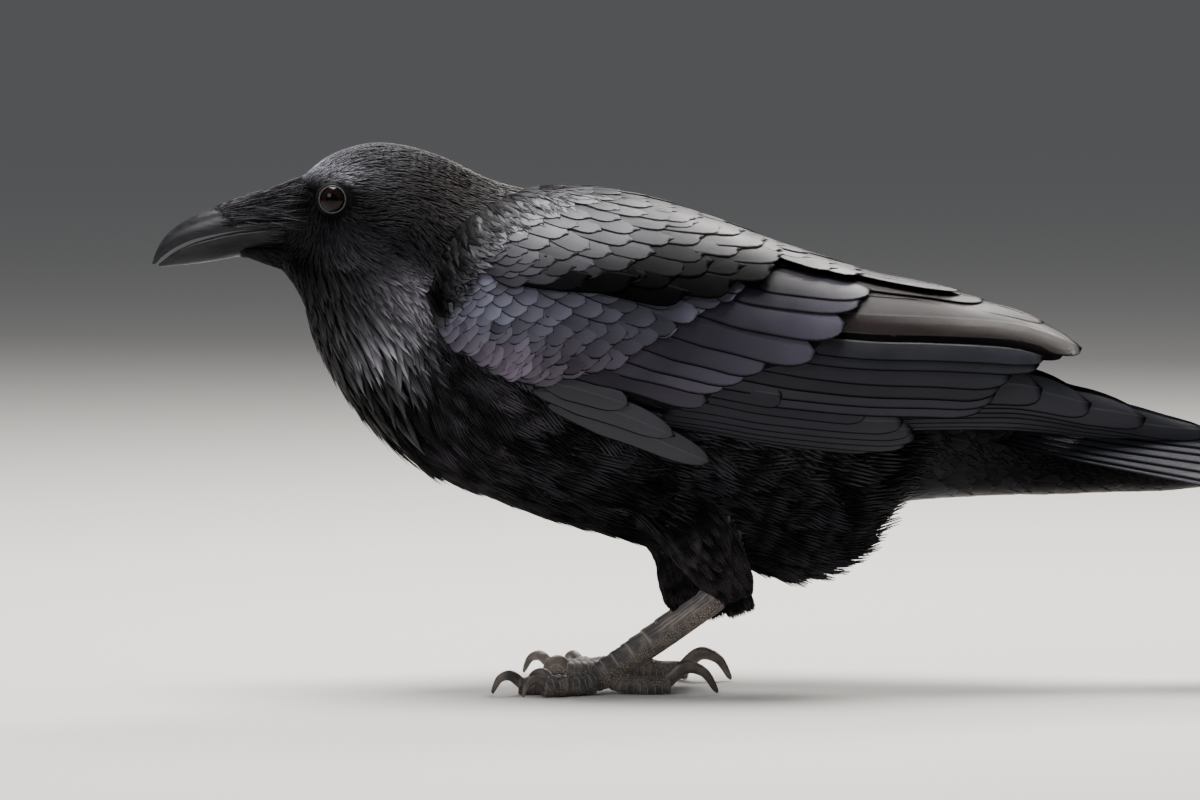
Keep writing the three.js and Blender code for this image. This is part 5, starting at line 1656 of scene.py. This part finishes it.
def spokes(sign, count):
    # directions square to the gaze, all the way round
    _, _, across, up = eyeAxes(sign)
    turns = [2 * math.pi * k / count for k in range(count)]
    return [across * math.cos(turn) + up * math.sin(turn) for turn in turns]


def spunRing(name, profile, sign, sides=72):
    centre, gaze, _, _ = eyeAxes(sign)
    points, faces, count = [], [], len(profile)
    for out in spokes(sign, sides):
        points += [centre + out * (eyeBall["open"] + r) + gaze * (eyeRest + h) for r, h in profile]
    for k in range(sides):
        for i in range(count):
            n, m = (k + 1) % sides, (i + 1) % count
            faces.append((k * count + i, k * count + m, n * count + m, n * count + i))
    return turnedOut(meshFrom(name, placed(points), faces))


def eyeMesh(sign):
    centre, gaze, _, _ = eyeAxes(sign)
    rings, sides = 40, 56
    round_ = spokes(sign, sides)
    points, polar, faces = [centre + gaze * (eyeBall["radius"] + eyeShape["cornea"])], [0.0], []
    for p in np.linspace(0.0, np.pi, rings + 1)[1:-1]:
        radius = eyeBall["radius"] + eyeShape["cornea"] * math.exp(-(p / eyeShape["corneaSpread"]) ** 2)
        points += [centre + (out * math.sin(p) + gaze * math.cos(p)) * radius for out in round_]
        polar += [p] * sides
    points.append(centre - gaze * eyeBall["radius"])
    polar.append(np.pi)
    last = 1 + (rings - 2) * sides
    for k in range(sides):
        n = (k + 1) % sides
        faces.append((0, 1 + k, 1 + n))
        faces.append((len(points) - 1, last + n, last + k))
        for r in range(rings - 2):
            a = 1 + r * sides
            faces.append((a + k, a + sides + k, a + sides + n, a + n))
    mesh = turnedOut(meshFrom("eye", placed(points), faces))
    setAttribute(mesh, "polar", "FLOAT", polar)
    return mesh


def beadTree():
    # beads round a ring of points
    tree = newTree("beadTree", [
        ("Size", "NodeSocketFloat", 0.0004), ("Material", "NodeSocketMaterial", None)])
    given = addNode(tree, "NodeGroupInput").outputs
    bead = addNode(tree, "GeometryNodeMeshIcoSphere", {"Radius": given["Size"], "Subdivisions": 2}).outputs[0]
    jitter = addNode(tree, "FunctionNodeRandomValue", {2: 0.75, 3: 1.2, "Seed": 4}, data_type="FLOAT")
    beads = addNode(tree, "GeometryNodeInstanceOnPoints", {
        "Points": given["Geometry"], "Instance": bead, "Scale": jitter.outputs[1]}).outputs[0]
    real = addNode(tree, "GeometryNodeRealizeInstances", {0: beads}).outputs[0]
    real = addNode(tree, "GeometryNodeSetShadeSmooth", {"Geometry": real}).outputs[0]
    finishGeometry(tree, real, given)
    return tree


trees["bead"] = beadTree()


def growEye(side, sign):
    finishPiece(objectFrom(f"eyeball_{side}", eyeMesh(sign)), [f"eye_{side}"], materials["eye"])
    for name in ("lid", "socket"):
        mesh = spunRing(f"{name}Ring", eyeShape[name], sign)
        finishPiece(objectFrom(f"{name}_{side}", mesh), [], materials[name])
    centre, gaze, _, _ = eyeAxes(sign)
    out, along = eyeShape["beadsAt"]
    out, along = eyeBall["open"] + out, eyeRest + along
    ring = [centre + spoke * out + gaze * along for spoke in spokes(sign, eyeShape["beads"])]
    source = objectFrom("beadRoots", meshFrom("beadRoots", placed(ring), []))
    values = {"Size": eyeShape["bead"] * mm, "Material": materials["socket"]}
    mesh = grown(source, trees["bead"], values, f"lidBeads_{side}")
    finishPiece(objectFrom(f"lid_beads_{side}", turnedOut(mesh)))


for eyeName, eyeSign in (("left", -1), ("right", 1)):
    growEye(eyeName, eyeSign)


footShape = {
    "tarsus": [(6.3, 4.8), (5.8, 3.9), (5.8, 3.8), (5.8, 4.8), (4.8, 6.2)], "sole": 3.9,
    "toes": {
        "middle": {"length": 38, "angle": 0, "radius": 4.2, "claw": 14, "joints": 3},
        "outer": {"length": 31, "angle": 24, "radius": 3.9, "claw": 12, "joints": 4},
        "inner": {"length": 27, "angle": -26, "radius": 4.0, "claw": 13, "joints": 2},
        "hind": {"length": 27, "angle": 176, "radius": 4.4, "claw": 25, "joints": 1},
    },
    # plates on the shank and to each mm of toe, their height, and where the shank's smooth top ends
    "scutes": {"tarsus": 11, "perToe": 0.36, "height": 0.55, "pads": 0.5, "smoothTo": (0.34, 0.44)},
}


def scuteSwell(count, joints=0):
    # plates that step down towards the toe along the top, and round pads below
    def swell(t, angle):
        top = ramp(-np.cos(angle), -0.2, 0.6)
        saw = (t * count) % 1.0
        plate = np.where(saw < 0.85, saw / 0.85, (1 - saw) / 0.15) ** 0.8
        lift = top * (plate - 0.4) * footShape["scutes"]["height"]
        if joints > 0:
            lift = lift + (1 - top) * footShape["scutes"]["pads"] * np.sin(np.pi * t * (joints + 0.5)) ** 2
        return lift
    return swell


def limbMesh(name, path, radii, steps, sides, swell=None, plates=0, smoothTop=False):
    rings = limbRings(path, radii, steps, sides, 0.0, swell)
    rings[:, :, 2] = np.maximum(rings[:, :, 2], 0.0)
    mesh = loftMesh(name, rings)
    # how far along in plates, how much on the plated side, whether they have rims, the turn round the limb
    t = np.concatenate([np.repeat(np.linspace(0, 1, steps), sides), [0, 1]])
    angle = np.concatenate([np.tile(np.arange(sides) * 2 * np.pi / sides, steps), [0, 0]])
    plated = ramp(-np.cos(angle), -0.3, 0.3)
    ridged = ramp(t, *footShape["scutes"]["smoothTo"]) if smoothTop else np.ones(len(t))
    setAttribute(mesh, "plate", "FLOAT_VECTOR", np.column_stack([t * plates, plated, ridged]))
    turned = np.column_stack([t * plates * 0.22, np.cos(angle) * 3, np.sin(angle) * 3])
    setAttribute(mesh, "round", "FLOAT_VECTOR", turned)
    return mesh


def tarsusPath(leg):
    heel, base = onSide(leg["heel"], leg["sign"]), onSide(leg["toeBase"], leg["sign"])
    middle = (heel + base) / 2 - np.array([0, 0, 1.2])
    return [heel + (heel - base) * 0.10, middle, base, base + np.array([-6, 0, -4.6])]


def toeWay(leg, toe):
    angle = math.radians(toe["angle"] + leg["turn"])
    return np.array([-math.cos(angle), leg["sign"] * math.sin(angle), 0])


def footPoint(from_, way, far, z):
    return np.array([from_[0], from_[1], 0]) + way * far + np.array([0, 0, z])


def toePath(leg, toe):
    way, base = toeWay(leg, toe), onSide(leg["toeBase"], leg["sign"])
    base = base - np.array([2, 0, 0])
    sole, length = footShape["sole"], toe["length"]
    shape = [(0, 7.6), (0.28, 5.0), (0.62, sole), (1, sole + 0.2)]  # share of the length, height
    return [footPoint(base, way, length * share, z) for share, z in shape]


def toeRadii(toe):
    pads = 2 * toe["joints"] + 1
    rows = []
    for i in range(pads + 2):
        radius = toe["radius"] * (1.02 - 0.2 * i / (pads + 1)) + (0.3 if i % 2 else -0.15)
        rows.append((radius, radius * 0.9))
    return rows


def clawPath(leg, toe):
    way, end = toeWay(leg, toe), toePath(leg, toe)[-1]
    reach, lift = toe["claw"] * 0.78, toe["claw"] * 0.3
    shape = [(-0.12, end[2] + 0.8), (0.3, end[2] + lift), (0.72, end[2] + lift * 0.72),
             (0.97, end[2] - 1.6), (1.02, 0.7)]  # share of the reach, height
    return [footPoint(end, way * reach, share, z) for share, z in shape]


def growLeg(side):
    leg, scutes = legShape[side], footShape["scutes"]
    count = scutes["tarsus"]
    mesh = limbMesh("tarsus", tarsusPath(leg), footShape["tarsus"], 132, 36, scuteSwell(count), count, True)
    finishPiece(objectFrom(f"shank_{side}", mesh), [f"tarsus_{side}"], materials["leg"])
    for name, toe in footShape["toes"].items():
        toeNode, clawNode = f"toe_{side}_{name}", f"claw_{side}_{name}"
        count = round(toe["length"] * scutes["perToe"])
        swell = scuteSwell(count, toe["joints"])
        mesh = limbMesh(name, toePath(leg, toe), toeRadii(toe), 90, 30, swell, count)
        finishPiece(objectFrom(f"digit_{side}_{name}", mesh), [toeNode], materials["leg"])
        thick = 1.6 + 0.055 * toe["claw"]
        radii = [(thick * k, thick * k * 0.78) for k in (1, 0.98, 0.72, 0.42)] + [(0.45, 0.35)]
        mesh = limbMesh("talon", clawPath(leg, toe), radii, 40, 20)
        finishPiece(objectFrom(f"talon_{side}_{name}", mesh), [clawNode], materials["claw"])


for legSide in legShape:
    growLeg(legSide)
print("legs ready")


studio = {
    "distance": 3.5, "elevation": 3.5, "lens": 244.2, "aim": (-17.2, 0, 123.8),
    "floor": (0.62, 0.60, 0.57), "floorHalf": 70,
    # name: place, aim, size, power, colour
    "lights": {
        "overhead": ((-0.2, 0.2, 1.5), (0, 0, 0.15), 0.8, 66, (1.0, 0.98, 0.96)),
        "front": ((-1.2, -1.5, 1.3), (0, 0, 0.14), 0.9, 15, (0.97, 0.98, 1.0)),
        "rim": ((0.5, 1.3, 1.3), (0, 0, 0.16), 0.6, 34, (1.0, 0.97, 0.92)),
    },
    "sky": (0.80, 0.84, 0.90), "skyPower": 0.17,
}


def aimed(thing, place, aim):
    thing.location = place
    thing.rotation_euler = (Vector(aim) - Vector(place)).to_track_quat("-Z", "Y").to_euler()


def buildStudio():
    camera = bpy.data.objects.new("camera", bpy.data.cameras.new("camera"))
    bpy.context.scene.collection.objects.link(camera)
    camera.data.sensor_width, camera.data.lens = 36, studio["lens"]
    aim = Vector(placed([studio["aim"]])[0])
    tilt = math.radians(studio["elevation"])
    camera.location = aim + Vector((0, -math.cos(tilt), math.sin(tilt))) * studio["distance"]
    camera.rotation_euler = (math.pi / 2 - tilt, 0, 0)
    bpy.context.scene.camera = camera
    for name, (place, target, size, power, colour) in studio["lights"].items():
        light = bpy.data.lights.new(name, "AREA")
        light.size, light.energy, light.color = size, power, colour
        lamp = bpy.data.objects.new(name, light)
        bpy.context.scene.collection.objects.link(lamp)
        aimed(lamp, place, target)
    world = bpy.data.worlds.new("sky")
    world.use_nodes = True
    world.node_tree.nodes["Background"].inputs[0].default_value = (*studio["sky"], 1)
    world.node_tree.nodes["Background"].inputs[1].default_value = studio["skyPower"]
    bpy.context.scene.world = world
    half = studio["floorHalf"]
    corners = [(-half, -half, 0), (half, -half, 0), (half, half, 0), (-half, half, 0)]
    floor = objectFrom("floor", meshFrom("floor", corners, [(0, 1, 2, 3)], False))
    material, _, shader = newMaterial("floorPaint")
    shader.inputs["Base Color"].default_value = (*studio["floor"], 1)
    shader.inputs["Roughness"].default_value = 0.8
    floor.data.materials.append(material)
    floor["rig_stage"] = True


buildStudio()
for vane in vanes.values():
    bpy.data.objects.remove(vane)
